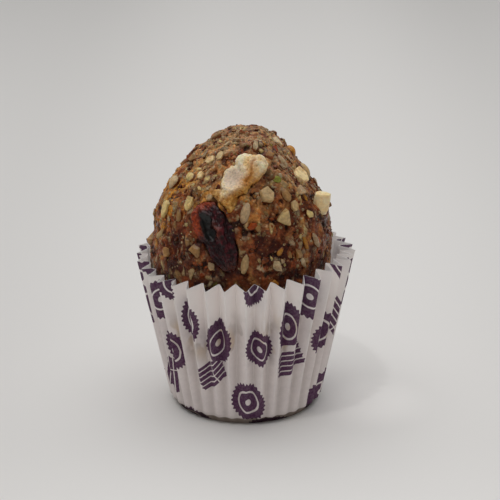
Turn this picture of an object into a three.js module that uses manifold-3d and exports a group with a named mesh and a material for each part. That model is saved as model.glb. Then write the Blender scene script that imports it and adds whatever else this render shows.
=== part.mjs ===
// An edible gum laddu: a hand-pressed sweet of dates, chopped nuts and puffed gum,
// standing in a pleated paper case. Millimetres, +Z up. The origin is the middle of
// the case's flat underside, and the side with the gum and the berry faces -Y.
import * as THREE from "three";
import { mergeVertices } from "three/addons/utils/BufferGeometryUtils.js";
import { ImprovedNoise } from "three/addons/math/ImprovedNoise.js";
import Module from "manifold-3d";

const wasm = await Module();
wasm.setup();

// The paper case: a printed disc of greaseproof paper pressed into pleats.
const FOOT_RADIUS = 15.95; // where the wall would meet the table
const RIM_RADIUS = 21.5; // middle of the pleats
const WALL_SLANT = 33.9; // length of the wall along the paper
const FRONT_FLARE = 0.8; // the wall leans out a little more at the front
const FOOT_ROUNDING = 0.95; // the base is this much smaller, and turns up into the wall in a bevel
const PAPER = 0.2;
const PLEATS = 36;
const PLEAT_SHARE = 0.9; // part of the spare paper that goes into the pleats' depth
const FOLD_FLAT = 0.07; // half width of a rounded fold, as a share of a pleat
const FOLD_JITTER = 0.06; // unevenness of the folds, as a share of a pleat
const FOLD_DEPTHS = [0.88, 1.12];
const WALL_STEPS = [0, 0.05, 0.42, 0.63, 0.81, 1]; // rows of the wall, as shares of its slant

// The rim is uneven: a higher stretch at the right of the front and a lower one at its left.
const RIM_WAVES = [
  { azimuth: 58, width: 26, lift: 0.9 },
  { azimuth: -56, width: 30, lift: -1.5 },
];

// The sweet: an egg with a blunt, leaning top.
const SWEET_RADIUS = 19.15;
const BELLY_HEIGHT = 33.3;
const TOP_HEIGHT = 61.7; // before the palm flattens it
const TOP_POINTEDNESS = 1.2;
const SWEET_SHIFT = -1.1; // the sweet stands off the case's middle, towards -X
const TOP_LEAN = 1.5; // and its top leans back towards +X
const GAP = 0.35; // clearance between neighbouring pieces
const SWEET_FOOT = PAPER + GAP;
const CORE_DETAIL = 11;
const LUMP = { size: 8, height: 0.55 };
const GRAIN = { size: 2.6, height: 0.35 };
const HELD_HEIGHTS = [32.5, 36.5]; // held smooth by the paper below these heights, and uneven above them

// Flats pressed by the palms: the way each one faces, and how far its plane lies from the sweet's middle.
const PALM_FLATS = [
  { azimuth: 85, rise: 40, distance: 19.9, firmness: 0.85 },
  { azimuth: -75, rise: 46, distance: 20.6, firmness: 0.8 },
  { azimuth: 200, rise: 34, distance: 19.6, firmness: 0.7 },
  { azimuth: -120, rise: 10, distance: 18.6, firmness: 0.6 },
  { azimuth: 0, rise: 90, distance: 26.0, firmness: 0.9 },
  { azimuth: -80, rise: 72, distance: 24.6, firmness: 0.7 },
];
const CROWN_DENT = { azimuth: 10, height: 60.5, radius: 4.2, depth: 1.1 };

// The large inclusions. Azimuth is 0 at the front and positive towards +X. No small bit's
// middle lies within the reach of one.
const GUM = { azimuth: -2, height: 52.0, reach: 6.5, sink: 0.6, blend: 0.45, flatness: 0.85 };
const GUM_LOBES = [
  { x: 3.0, y: 4.2, z: 1.0, radius: 2.2 },
  { x: 0.5, y: 4.9, z: 0.5, radius: 1.8 },
  { x: 1.7, y: 2.3, z: 1.0, radius: 2.0 },
  { x: -1.8, y: 1.7, z: 0.3, radius: 2.1 },
  { x: -2.3, y: -0.4, z: 0.3, radius: 1.7 },
  { x: -0.1, y: -0.1, z: 0.8, radius: 1.7 },
  { x: -2.1, y: -2.2, z: 0.5, radius: 1.5 },
  { x: -3.3, y: -2.8, z: 0.4, radius: 1.2 },
  { x: -2.1, y: -4.2, z: 0.3, radius: 1.0 },
  { x: -5.1, y: -1.5, z: 0.0, radius: 0.8 },
];
const GUM_DISH = { x: -2.2, y: 1.6, z: 3.4, radius: 2.5 };
const GUM_POCKET_GAP = 0.5; // wider than the other gaps, because its lobes are uneven
const GUM_LONGEST = 12; // no part of the gum is further from its middle
const BERRY = { azimuth: -17, height: 42.1, spin: 31, reach: 6.8, sink: 1.1 };
const BERRY_SIZE = { length: 14.8, width: 7.0, depth: 4.8 };
const BERRY_FORM = { bluntness: 2.5, taper: 0.25, bend: 0.5 }; // narrower at its lower end, and bent
const BERRY_WRINKLES = { count: 7, height: 0.3 };
const BERRY_HOLLOW = { x: -0.1, y: 2.6, z: 2.9, radius: 1.8, length: 1.9 };
const ALMOND = { azimuth: 73, height: 45.4, spin: -6, reach: 3.2, sink: 0.0 };
const ALMOND_SIZE = { length: 4.8, width: 3.4, depth: 3.5, skew: 0.12, lean: 28 };
const ALMOND_WEAR = { corner: 0.8, edge: 0.92, face: 1 }; // how far each is worn towards the middle
const ALMOND_ROUGHNESS = [0.95, 1.03];
const ALMOND_SPLIT = { x: -1.6, z: 0.1, slope: 45 }; // a flat face where an edge has broken off
const LUMP_DETAIL = { shape: 7, pocket: 6 };

// Nut pieces and seeds that show on the front: where each one lies, and its length, width and spin.
const FRONT_BITS = [
  { azimuth: 18, height: 50.0, length: 3.9, width: 3.0, spin: -14 },
  { azimuth: 30, height: 45.5, length: 4.5, width: 3.4, spin: -25 },
  { azimuth: 39, height: 47.2, length: 2.9, width: 2.3, spin: -19 },
  { azimuth: 2, height: 46.9, length: 4.6, width: 2.0, spin: -15 },
  { azimuth: 74, height: 51.7, length: 4.6, width: 3.2, spin: 13 },
  { azimuth: 34, height: 49.9, length: 4.0, width: 2.0, spin: 11 },
  { azimuth: 51, height: 55.5, length: 3.6, width: 2.0, spin: 0 },
  { azimuth: -46, height: 55.9, length: 2.4, width: 2.2, spin: -66 },
  { azimuth: -32, height: 56.6, length: 2.6, width: 1.9, spin: 5 },
  { azimuth: -43, height: 52.9, length: 2.1, width: 2.0, spin: 30 },
  { azimuth: -42, height: 47.7, length: 3.5, width: 2.2, spin: 18 },
  { azimuth: -67, height: 44.9, length: 4.5, width: 2.6, spin: 7 },
  { azimuth: -50, height: 45.3, length: 3.7, width: 1.5, spin: 16 },
  { azimuth: -28, height: 39.1, length: 3.0, width: 2.5, spin: -37 },
  { azimuth: -52, height: 37.1, length: 2.4, width: 2.0, spin: 6 },
  { azimuth: 3, height: 37.2, length: 4.4, width: 1.8, spin: -12 },
  { azimuth: 23, height: 36.3, length: 2.0, width: 2.0, spin: -2 },
  { azimuth: 42, height: 35.7, length: 2.6, width: 1.3, spin: 21 },
  { azimuth: 54, height: 39.3, length: 4.4, width: 1.8, spin: 30 },
  { azimuth: 45, height: 39.6, length: 3.3, width: 1.2, spin: 17 },
  { azimuth: 7, height: 44.5, length: 2.3, width: 1.6, spin: -62 },
  { azimuth: 39, height: 37.8, length: 2.7, width: 1.9, spin: -6 },
  { azimuth: 13, height: 58.3, length: 2.2, width: 1.4, spin: -11 },
  { azimuth: 53, height: 44.9, length: 1.8, width: 1.7, spin: -25 },
];
// The rest of the bits lie on an even spiral over the part of the sweet that stands out of the case.
const SPIRAL_BITS = 64;
const BIT_LENGTH = [2.0, 4.0];
const BIT_SLIMNESS = [0.5, 0.85];
const BIT_HEIGHTS = [36.0, 59.1];
const BIT_CLEARANCE = 0.8; // a spiral bit keeps this far from what is already there
const BIT_THICKNESS = 0.42; // as a share of its width
const CHIP_ROUGHNESS = [0.82, 1.18]; // how far a corner may lie off the rounded form
const BIT_SINK = 0.08; // the middle of a bit lies this share of its width under the surface
const GOLDEN_ANGLE = Math.PI * (3 - Math.sqrt(5));
const SEEDS = { places: 41, chips: 97, almond: 7, folds: 5 };

const material = (color, roughness) => new THREE.MeshStandardMaterial({ color, roughness, metalness: 0 });
const PAPER_WHITE = material(0xd9d2cc, 0.85);
const DATE_BROWN = material(0x5e3a20, 0.6);
const GUM_CREAM = material(0xd2b280, 0.7);
const BERRY_RED = material(0x3c1216, 0.35);
const ALMOND_CREAM = material(0xc9ae7c, 0.6);

const noise = new ImprovedNoise();

// A repeatable stream of numbers from 0 to 1.
function seededRandom(seed) {
  let state = seed;
  return () => {
    state = (state + 0x6d2b79f5) | 0;
    let t = Math.imul(state ^ (state >>> 15), 1 | state);
    t = (t + Math.imul(t ^ (t >>> 7), 61 | t)) ^ t;
    return ((t ^ (t >>> 14)) >>> 0) / 4294967296;
  };
}

const between = ([low, high], share) => low + (high - low) * share;
const radians = THREE.MathUtils.degToRad;

// A direction from its azimuth about the upright axis and its rise above the horizon, both in degrees.
function facing(azimuth, rise) {
  const a = radians(azimuth);
  const r = radians(rise);
  return new THREE.Vector3(Math.sin(a) * Math.cos(r), -Math.cos(a) * Math.cos(r), Math.sin(r));
}

function toSolid(geometry) {
  geometry.deleteAttribute("normal");
  geometry.deleteAttribute("uv");
  const merged = mergeVertices(geometry, 1e-4);
  const vertProperties = merged.attributes.position.array;
  const triVerts = new Uint32Array(merged.index.array);
  return new wasm.Manifold(new wasm.Mesh({ numProp: 3, vertProperties, triVerts }));
}

function toGeometry(solid) {
  const mesh = solid.getMesh();
  const positions = new Float32Array(mesh.numVert * 3);
  for (let i = 0; i < mesh.numVert; i++)
    positions.set(mesh.vertProperties.subarray(i * mesh.numProp, i * mesh.numProp + 3), i * 3);
  const geometry = new THREE.BufferGeometry();
  geometry.setAttribute("position", new THREE.BufferAttribute(positions, 3));
  geometry.setIndex(new THREE.BufferAttribute(mesh.triVerts, 1));
  return geometry;
}

function moveVertices(geometry, move) {
  const position = geometry.getAttribute("position");
  const point = new THREE.Vector3();
  for (let i = 0; i < position.count; i++) {
    point.fromBufferAttribute(position, i);
    move(point, i);
    position.setXYZ(i, point.x, point.y, point.z);
  }
  return geometry;
}

// Radius of the sweet's smooth egg at a height.
function sweetRadius(z) {
  const upper = z > BELLY_HEIGHT;
  const reach = upper ? TOP_HEIGHT - BELLY_HEIGHT : BELLY_HEIGHT - SWEET_FOOT;
  const rise = Math.min(1, Math.abs(z - BELLY_HEIGHT) / reach);
  return SWEET_RADIUS * Math.pow(1 - rise * rise, upper ? TOP_POINTEDNESS / 2 : 0.5);
}

// How far the sweet's own axis lies from the case's at a height.
function sweetOffset(z) {
  const rise = THREE.MathUtils.clamp((z - BELLY_HEIGHT) / (TOP_HEIGHT - BELLY_HEIGHT), 0, 1);
  return SWEET_SHIFT + TOP_LEAN * rise ** 1.5;
}

// The point of the smooth egg at an azimuth and height, with the way that its surface faces.
function onSweet(azimuth, z) {
  const step = 0.2;
  const slope = (sweetRadius(z + step) - sweetRadius(z - step)) / (2 * step);
  const normal = facing(azimuth, THREE.MathUtils.radToDeg(Math.atan(-slope)));
  const point = facing(azimuth, 0).multiplyScalar(sweetRadius(z));
  point.z = z;
  point.x += sweetOffset(z);
  return { point, normal };
}

// Stands a shape on the sweet: its X runs across, its Y up along the surface and its Z out of it.
function standOn({ azimuth, height, spin = 0 }, out) {
  const { point, normal } = onSweet(azimuth, height);
  const across = new THREE.Vector3(0, 0, 1).cross(normal).normalize();
  const along = normal.clone().cross(across);
  const turn = new THREE.Matrix4().makeBasis(across, along, normal);
  turn.multiply(new THREE.Matrix4().makeRotationZ(radians(spin)));
  return turn.setPosition(point.addScaledVector(normal, out));
}

function pressFlats(point) {
  const middle = new THREE.Vector3(SWEET_SHIFT, 0, BELLY_HEIGHT);
  for (const flat of PALM_FLATS) {
    const way = facing(flat.azimuth, flat.rise);
    const beyond = point.clone().sub(middle).dot(way) - flat.distance;
    if (beyond > 0) point.addScaledVector(way, -beyond * flat.firmness);
  }
}

function pressCrown(point) {
  const { point: centre, normal } = onSweet(CROWN_DENT.azimuth, CROWN_DENT.height);
  const distance = point.distanceTo(centre) / CROWN_DENT.radius;
  if (distance < 1) point.addScaledVector(normal, -CROWN_DENT.depth * (1 - distance * distance) ** 2);
}

// The pressed mass: an egg with soft lumps and a coarse grain, kept inside its smooth form
// where the case holds it.
function sweetCore() {
  const relief = ({ size, height }, p) => height * noise.noise(p.x / size, p.y / size, p.z / size);
  const geometry = moveVertices(new THREE.IcosahedronGeometry(1, CORE_DETAIL), (p) => {
    const reach = p.z > 0 ? TOP_HEIGHT - BELLY_HEIGHT : BELLY_HEIGHT - SWEET_FOOT;
    const azimuth = THREE.MathUtils.radToDeg(Math.atan2(p.x, -p.y));
    const { point, normal } = onSweet(azimuth, BELLY_HEIGHT + p.z * reach);
    p.copy(point);
    pressFlats(p);
    pressCrown(p);
    const bump = relief(LUMP, p) + relief(GRAIN, p);
    const free = THREE.MathUtils.smoothstep(p.z, ...HELD_HEIGHTS);
    p.addScaledVector(normal, THREE.MathUtils.lerp(Math.min(0, bump), bump, free));
    p.z = Math.max(p.z, SWEET_FOOT);
  });
  return toSolid(geometry);
}

// An angular chip of nut, or a seed, of twenty faces.
function chip({ length, width }, random) {
  const half = new THREE.Vector3(width / 2, length / 2, width * BIT_THICKNESS);
  const geometry = new THREE.IcosahedronGeometry(1, 0);
  geometry.deleteAttribute("normal");
  geometry.deleteAttribute("uv");
  return moveVertices(mergeVertices(geometry), (p) => {
    p.multiplyScalar(between(CHIP_ROUGHNESS, random())).multiply(half);
  });
}

// The front bits and the spiral ones, each with its place on the sweet.
function bitPlaces() {
  const random = seededRandom(SEEDS.places);
  const spot = (bit, reach) => ({ centre: onSweet(bit.azimuth, bit.height).point, reach });
  const taken = [GUM, BERRY, ALMOND].map((large) => spot(large, large.reach));
  taken.push(...FRONT_BITS.map((bit) => spot(bit, bit.length / 2)));
  const placed = [...FRONT_BITS];
  for (let i = 0; i < SPIRAL_BITS; i++) {
    const length = between(BIT_LENGTH, random() ** 1.5);
    const bit = {
      azimuth: THREE.MathUtils.radToDeg(i * GOLDEN_ANGLE) + 8 * random(),
      height: between(BIT_HEIGHTS, (i + random()) / SPIRAL_BITS),
      length,
      width: length * between(BIT_SLIMNESS, random()),
      spin: 360 * random(),
    };
    const { centre, reach } = spot(bit, length / 2);
    const crowded = ({ centre: other, reach: room }) => {
      return centre.distanceTo(other) < room + reach + BIT_CLEARANCE;
    };
    if (taken.some(crowded)) continue;
    placed.push(bit);
    taken.push({ centre, reach });
  }
  return placed;
}

function bitSolids() {
  const random = seededRandom(SEEDS.chips);
  return bitPlaces().map((bit) => {
    const smooth = onSweet(bit.azimuth, bit.height).point;
    const pressed = smooth.clone();
    pressFlats(pressed);
    pressCrown(pressed);
    const out = -BIT_SINK * bit.width - smooth.distanceTo(pressed);
    return toSolid(chip(bit, random).applyMatrix4(standOn(bit, out)));
  });
}

// How far a point lies outside the gum's lobes, which have run together.
function outsideGum(p) {
  const { blend } = GUM;
  const depths = GUM_LOBES.map((lobe) => Math.exp((lobe.radius - p.distanceTo(lobe)) / blend));
  const lobes = -blend * Math.log(depths.reduce((a, b) => a + b));
  const dish = GUM_DISH.radius - p.distanceTo(GUM_DISH);
  return blend * Math.log(Math.exp(lobes / blend) + Math.exp(dish / blend));
}

// The puffed gum: lobes that have burst and run together, with a smooth dish in one side.
// Each corner of a ball is moved out along its ray to where the gum, grown by a distance, ends.
function puffedGum(grow, detail) {
  const geometry = moveVertices(new THREE.IcosahedronGeometry(1, detail), (way) => {
    let [inside, outside] = [0, GUM_LONGEST];
    while (outside - inside > 0.01) {
      const reach = (inside + outside) / 2;
      if (outsideGum(way.clone().multiplyScalar(reach)) < grow) inside = reach;
      else outside = reach;
    }
    way.multiplyScalar(inside);
    way.z *= GUM.flatness;
  });
  return toSolid(geometry.applyMatrix4(standOn(GUM, -GUM.sink)));
}

// The dried berry: a long, wrinkled skin with blunt ends. Its pocket in the sweet is smooth.
function berryBody(grow, detail) {
  const { bluntness, taper, bend } = BERRY_FORM;
  const half = new THREE.Vector3(BERRY_SIZE.width, BERRY_SIZE.length, BERRY_SIZE.depth).divideScalar(2);
  const geometry = moveVertices(new THREE.IcosahedronGeometry(1, detail), (p) => {
    const waist = Math.sqrt(Math.max(0, 1 - p.y * p.y));
    const around = Math.atan2(p.z, p.x);
    const wrinkle = Math.sin(around * BERRY_WRINKLES.count + 2.2 * p.y + 1.5 * Math.sin(3 * p.y));
    const height = BERRY_WRINKLES.height * waist * (grow ? 1 : wrinkle);
    const way = p.clone();
    const sides = [p.x, p.y, p.z].map((side) => Math.abs(side) ** bluntness);
    p.divideScalar(sides.reduce((a, b) => a + b) ** (1 / bluntness));
    const { y } = p;
    p.multiply(half);
    p.x = p.x * (1 + taper * y) + bend * (1 - y * y);
    p.addScaledVector(way, height + grow);
  });
  return toSolid(geometry.applyMatrix4(standOn(BERRY, -BERRY.sink)));
}

// The berry with the hollow near its upper end, where its stone was.
function driedBerry() {
  const hollow = new THREE.IcosahedronGeometry(BERRY_HOLLOW.radius, 3);
  hollow.scale(1, BERRY_HOLLOW.length, 1);
  hollow.translate(BERRY_HOLLOW.x, BERRY_HOLLOW.y, BERRY_HOLLOW.z);
  return berryBody(0, 5).subtract(toSolid(hollow.applyMatrix4(standOn(BERRY, -BERRY.sink))));
}

// The almond chunk: a broken corner of a nut with flat sides and worn edges, leaning out of the sweet.
function almondChunk(grow) {
  const random = seededRandom(SEEDS.almond);
  const half = new THREE.Vector3(ALMOND_SIZE.width, ALMOND_SIZE.length, ALMOND_SIZE.depth);
  half.divideScalar(2).addScalar(grow);
  const block = new THREE.BoxGeometry(2, 2, 2, 3, 3, 3);
  block.deleteAttribute("normal");
  block.deleteAttribute("uv");
  const geometry = moveVertices(mergeVertices(block), (p) => {
    const sides = [p.x, p.y, p.z].filter((side) => Math.abs(side) > 0.99).length;
    const worn = [ALMOND_WEAR.face, ALMOND_WEAR.face, ALMOND_WEAR.edge, ALMOND_WEAR.corner][sides];
    p.multiplyScalar(worn * between(ALMOND_ROUGHNESS, random())).multiply(half);
    p.x += ALMOND_SIZE.skew * p.y * Math.sign(p.z);
  });
  const edge = new THREE.BoxGeometry(10, 10, 10).translate(0, 0, 5 + grow);
  edge.rotateY(-radians(ALMOND_SPLIT.slope)).translate(ALMOND_SPLIT.x, 0, ALMOND_SPLIT.z);
  const lean = new THREE.Matrix4().makeRotationX(radians(ALMOND_SIZE.lean));
  const place = standOn(ALMOND, -ALMOND.sink).multiply(lean);
  return toSolid(geometry.applyMatrix4(place)).subtract(toSolid(edge.applyMatrix4(place)));
}

function largestPiece(solid) {
  return solid.decompose().reduce((a, b) => (a.volume() > b.volume() ? a : b));
}

function sweetBody() {
  const filled = wasm.Manifold.union([sweetCore(), ...bitSolids()]);
  const gumPocket = puffedGum(GUM_POCKET_GAP, LUMP_DETAIL.pocket);
  const berryPocket = berryBody(GAP, LUMP_DETAIL.pocket);
  const pockets = wasm.Manifold.union([gumPocket, berryPocket, almondChunk(GAP)]);
  return largestPiece(filled.subtract(pockets));
}

// Depth of a pleat at a distance up the wall: what is left over when the flat disc's circle
// is folded to the wall's.
function pleatDepth(slant) {
  const flatRadius = FOOT_RADIUS + slant;
  const wallRadius = THREE.MathUtils.lerp(FOOT_RADIUS, RIM_RADIUS, slant / WALL_SLANT);
  return PLEAT_SHARE * (Math.PI / PLEATS) * Math.sqrt(flatRadius ** 2 - wallRadius ** 2);
}

// The folds in order round the case, each a pair of close columns: outward on a ridge and
// inward in a valley.
function foldColumns() {
  const random = seededRandom(SEEDS.folds);
  const columns = [];
  for (let fold = 0; fold < 2 * PLEATS; fold++) {
    const place = fold / 2 + FOLD_JITTER * (2 * random() - 1);
    const wave = (fold % 2 ? -1 : 1) * between(FOLD_DEPTHS, random());
    for (const edge of [-FOLD_FLAT, FOLD_FLAT])
      columns.push({ angle: ((place + edge) / PLEATS) * 2 * Math.PI, wave });
  }
  return columns;
}

function rimLift(angle) {
  return RIM_WAVES.reduce((sum, { azimuth, width, lift }) => {
    const away = THREE.MathUtils.radToDeg(angle) + 90 - azimuth;
    const apart = THREE.MathUtils.euclideanModulo(away + 180, 360) - 180;
    return sum + lift * Math.exp(-((apart / width) ** 2));
  }, 0);
}

// A point of the wall, at a share of its slant: on its outer side, or one thickness of paper further in.
function wallPoint({ angle, wave }, share, inner) {
  const slant = share * (WALL_SLANT + rimLift(angle));
  const depth = pleatDepth(slant);
  const flare = FRONT_FLARE * Math.max(0, -Math.sin(angle)) ** 2;
  const mean = THREE.MathUtils.lerp(FOOT_RADIUS, RIM_RADIUS + flare, share);
  const thickness = PAPER * Math.hypot(1, depth / ((Math.PI * mean) / PLEATS));
  const held = sweetRadius(slant) + SWEET_SHIFT * Math.cos(angle) + GAP + thickness;
  const outer = share ? Math.max(mean + (wave * depth) / 2, held) : FOOT_RADIUS - FOOT_ROUNDING;
  const rise = share ? Math.sqrt(slant ** 2 - (outer - FOOT_RADIUS) ** 2) : 0;
  const height = inner ? Math.max(rise, PAPER) : rise;
  const radius = outer - (inner ? thickness : 0);
  return new THREE.Vector3(radius * Math.cos(angle), radius * Math.sin(angle), height);
}

function paperCase() {
  const columns = foldColumns();
  const wall = (inner) => WALL_STEPS.map((share) => (column) => wallPoint(column, share, inner));
  const rows = [
    () => new THREE.Vector3(0, 0, 0),
    ...wall(false),
    ...wall(true).reverse(),
    () => new THREE.Vector3(0, 0, PAPER),
  ];
  const outline = rows.map((row, i) => new THREE.Vector2(i && i < rows.length - 1 ? FOOT_RADIUS : 0, i));
  const geometry = moveVertices(new THREE.LatheGeometry(outline, columns.length), (p, i) => {
    const column = columns[Math.floor(i / rows.length) % columns.length];
    p.copy(rows[i % rows.length](column));
  });
  return toSolid(geometry);
}

function piece(name, solid, finish) {
  const mesh = new THREE.Mesh(toGeometry(solid), finish);
  mesh.name = name;
  return mesh;
}

const laddu = new THREE.Group();
laddu.add(piece("paper_case", paperCase(), PAPER_WHITE));
laddu.add(piece("laddu_body", sweetBody(), DATE_BROWN));
laddu.add(piece("puffed_gum", puffedGum(0, LUMP_DETAIL.shape), GUM_CREAM));
laddu.add(piece("dried_berry", driedBerry(), BERRY_RED));
laddu.add(piece("almond_chunk", almondChunk(0), ALMOND_CREAM));
export default laddu;
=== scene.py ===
"""The looks of an edible gum laddu in its pleated paper case.

The pieces are shaped in millimetres, in the frame of the solids, and brought to metres when done.
"""

import math

import bpy
import numpy as np
from mathutils import Matrix, Vector, noise
from mathutils.bvhtree import BVHTree
from mathutils.kdtree import KDTree


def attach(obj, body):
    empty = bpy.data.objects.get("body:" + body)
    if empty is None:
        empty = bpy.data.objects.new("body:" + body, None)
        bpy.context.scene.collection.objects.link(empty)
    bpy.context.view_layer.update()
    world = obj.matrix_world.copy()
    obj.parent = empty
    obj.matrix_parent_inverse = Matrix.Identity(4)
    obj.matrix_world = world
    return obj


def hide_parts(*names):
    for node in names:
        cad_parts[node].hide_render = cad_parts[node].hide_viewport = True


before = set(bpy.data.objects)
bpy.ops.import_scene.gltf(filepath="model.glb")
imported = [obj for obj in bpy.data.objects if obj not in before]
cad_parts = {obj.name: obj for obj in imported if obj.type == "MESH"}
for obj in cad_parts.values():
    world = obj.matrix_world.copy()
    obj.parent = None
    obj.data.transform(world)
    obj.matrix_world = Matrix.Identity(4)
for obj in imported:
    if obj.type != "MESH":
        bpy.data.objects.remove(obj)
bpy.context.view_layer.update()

MM = 0.001

# The paper case: a printed disc of greaseproof paper pressed into pleats.
FOOT_RADIUS = 15.95
RIM_RADIUS = 21.5
WALL_SLANT = 33.9
FRONT_FLARE = 0.8
FOOT_ROUNDING = 0.95
PAPER = 0.1
PLEATS = 36
PLEAT_SHARE = 0.9
FOLD_JITTER = 0.06
FOLD_DEPTHS = (0.88, 1.12)
FOLD_ROUNDING = (0.10, 0.045)  # half width of a fold at the foot and at the rim, as a share of a pleat
COLUMNS_PER_PLEAT = 16
TURN_UP = 1.7  # the wall proper starts this far up the paper
FLAT_MAP = 100.0  # millimetres of flat paper across the whole map
RIM_WAVES = ((58, 26, 0.9), (-56, 30, -1.5))  # azimuth, width and lift of the rim's uneven stretches

# The sweet: an egg with a blunt, leaning top.
SWEET_RADIUS = 19.15
BELLY_HEIGHT = 33.3
TOP_HEIGHT = 61.7
TOP_POINTEDNESS = 1.2
SWEET_SHIFT = -1.1
TOP_LEAN = 1.5
GAP = 0.35
SWEET_FOOT = 0.55
HELD_HEIGHTS = (32.5, 36.5)  # the case lets go of the sweet between these
PALM_FLATS = (  # azimuth, rise, distance from the sweet's middle, firmness
    (85, 40, 19.9, 0.85),
    (-75, 46, 20.6, 0.8),
    (200, 34, 19.6, 0.7),
    (-120, 10, 18.6, 0.6),
    (0, 90, 26.0, 0.9),
    (-80, 72, 24.6, 0.7),
)
CROWN_DENT = {"azimuth": 10, "height": 60.5, "radius": 4.2, "depth": 1.1}

# The large inclusions. Azimuth is 0 at the front and positive towards +X.
GUM = {"azimuth": -2, "height": 52.0, "spin": 0, "reach": 6.5, "sink": 0.6}
GUM_BLEND = 0.45
GUM_SQUASH = np.array((1, 1, 0.85))  # flattens the lobes, which are balls without it
GUM_LOBES = (  # x, y, z, radius
    (3.0, 4.2, 1.0, 2.2),
    (0.5, 4.9, 0.5, 1.8),
    (1.7, 2.3, 1.0, 2.0),
    (-1.8, 1.7, 0.3, 2.1),
    (-2.3, -0.4, 0.3, 1.7),
    (-0.1, -0.1, 0.8, 1.7),
    (-2.1, -2.2, 0.5, 1.5),
    (-3.3, -2.8, 0.4, 1.2),
    (-2.1, -4.2, 0.3, 1.0),
    (-5.1, -1.5, 0.0, 0.8),
)
GUM_DISH = (-2.2, 1.6, 3.4, 2.5)
GUM_SPLIT = ((2.7, 5.0), (1.2, 0.6))
BERRY = {"azimuth": -17, "height": 42.1, "spin": 31, "reach": 6.8, "sink": 1.1}
BERRY_SIZE = (7.0, 14.8, 4.8)
BERRY_BLUNTNESS = 2.5
BERRY_TAPER = 0.25
BERRY_BEND = 0.5
BERRY_HOLLOW = {"centre": (-0.1, 2.6, 2.9), "half": (1.8, 3.42, 1.8)}
ALMOND = {"azimuth": 73, "height": 45.4, "spin": -6, "reach": 3.2, "sink": 0.0, "lean": 28}
ALMOND_SIZE = (3.4, 4.8, 3.5)
ALMOND_SKEW = 0.12
ALMOND_SPLIT = {"x": -1.6, "z": 0.1, "slope": 45}

# Nut pieces and seeds that show on the front: azimuth, height, length, width, spin, form and flesh.
FRONT_BITS = (
    (18, 50.0, 3.9, 3.6, -14, "slab", "cream"),
    (30, 45.5, 4.5, 5.2, 97, "wedge", "ivory"),
    (39, 47.2, 2.9, 2.3, -19, "slab", "cream"),
    (2, 46.9, 4.6, 2.0, -15, "seed", "rosy"),
    (74, 51.7, 4.6, 4.2, 13, "slab", "fresh"),
    (34, 49.9, 4.0, 2.0, 11, "seed", "tan"),
    (51, 55.5, 3.6, 2.0, 0, "seed", "rosy"),
    (-46, 55.9, 2.4, 2.4, -66, "slab", "fresh"),
    (-32, 56.6, 2.6, 2.2, 5, "slab", "fresh"),
    (-43, 52.9, 2.1, 2.1, 30, "slab", "fresh"),
    (-42, 47.7, 3.5, 2.2, 18, "chip", "butter"),
    (-67, 44.9, 4.5, 2.6, 7, "chip", "butter"),
    (-50, 45.3, 3.7, 1.5, 16, "seed", "tan"),
    (-28, 39.1, 3.0, 2.5, -37, "chip", "tan"),
    (-52, 37.1, 2.4, 2.0, 6, "chip", "tan"),
    (3, 37.2, 4.4, 1.8, -12, "seed", "cream"),
    (23, 36.3, 2.0, 2.0, -2, "chip", "pale"),
    (42, 35.7, 2.6, 1.3, 21, "chip", "pale"),
    (54, 39.3, 4.4, 1.8, 30, "seed", "rosy"),
    (45, 39.6, 3.3, 1.2, 17, "chip", "amber"),
    (7, 44.5, 2.3, 1.6, -62, "chip", "orange"),
    (39, 37.8, 2.7, 1.9, -6, "chip", "tan"),
    (13, 58.3, 2.2, 1.4, -11, "chip", "pale"),
    (53, 44.9, 1.8, 1.7, -25, "grain", "butter"),
)
# Smaller chips that show as well: azimuth, height, length, width, spin and flesh.
SMALL_FRONT_BITS = (
    (52, 48.3, 1.6, 1.5, -30, "amber"),
    (43, 54.7, 1.9, 1.4, 2, "rosy"),
    (30, 52.5, 1.8, 1.3, 61, "green"),
    (31, 58.7, 1.8, 1.2, -9, "amber"),
    (63, 58.9, 1.9, 1.3, -28, "green"),
    (55, 57.9, 1.7, 1.2, -49, "orange"),
    (-36, 58.9, 1.8, 1.5, 5, "pale"),
    (-24, 59.7, 2.0, 1.9, -37, "rosy"),
    (-34, 40.4, 2.0, 1.1, 7, "tan"),
    (-31, 34.2, 2.4, 1.7, -34, "cream"),
    (-18, 36.3, 1.9, 1.3, 1, "rosy"),
    (27, 36.9, 1.7, 1.1, -3, "rosy"),
    (11, 44.1, 1.6, 1.4, -3, "tan"),
    (17, 46.7, 1.9, 1.0, 19, "tan"),
    (21, 32.5, 2.4, 2.2, 1, "amber"),
    (32, 38.3, 1.9, 1.0, -5, "tan"),
    (-42, 38.1, 1.5, 0.8, 6, "pale"),
    (-58, 43.5, 1.5, 0.9, 27, "pale"),
    (-21, 51.5, 1.5, 1.3, 12, "skin"),
    (-21, 52.9, 1.1, 0.9, 13, "orange"),
    (-34, 51.9, 1.6, 0.9, -49, "cream"),
    (-30, 50.9, 1.4, 1.0, 30, "pale"),
    (-37, 50.7, 1.3, 0.9, 70, "butter"),
    (-28, 52.7, 1.3, 0.8, -20, "pale"),
)
SPIRAL_BITS = 64
BIT_LENGTH = (2.0, 4.0)
BIT_SLIMNESS = (0.5, 0.85)
BIT_HEIGHTS = (36.0, 59.1)
BIT_CLEARANCE = 0.8
GOLDEN_ANGLE = math.pi * (3 - math.sqrt(5))
SPIRAL_FLESHES = ("cream", "pale", "tan", "rosy", "butter", "cream", "pale", "rosy", "amber", "tan")
MIXED_FLESHES = SPIRAL_FLESHES[:6] + ("rosy", "tan", "orange", "amber", "pale", "green")
CRUMB_FLESHES = ("tan", "rosy", "cream", "tan", "pale", "cream", "butter", "rosy")
BIT_TILT = 0.45  # radians between its extremes
BIT_THICKNESS = (0.34, 0.5)  # as a share of the width
BIT_TONES = (0.85, 1.12)

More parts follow.
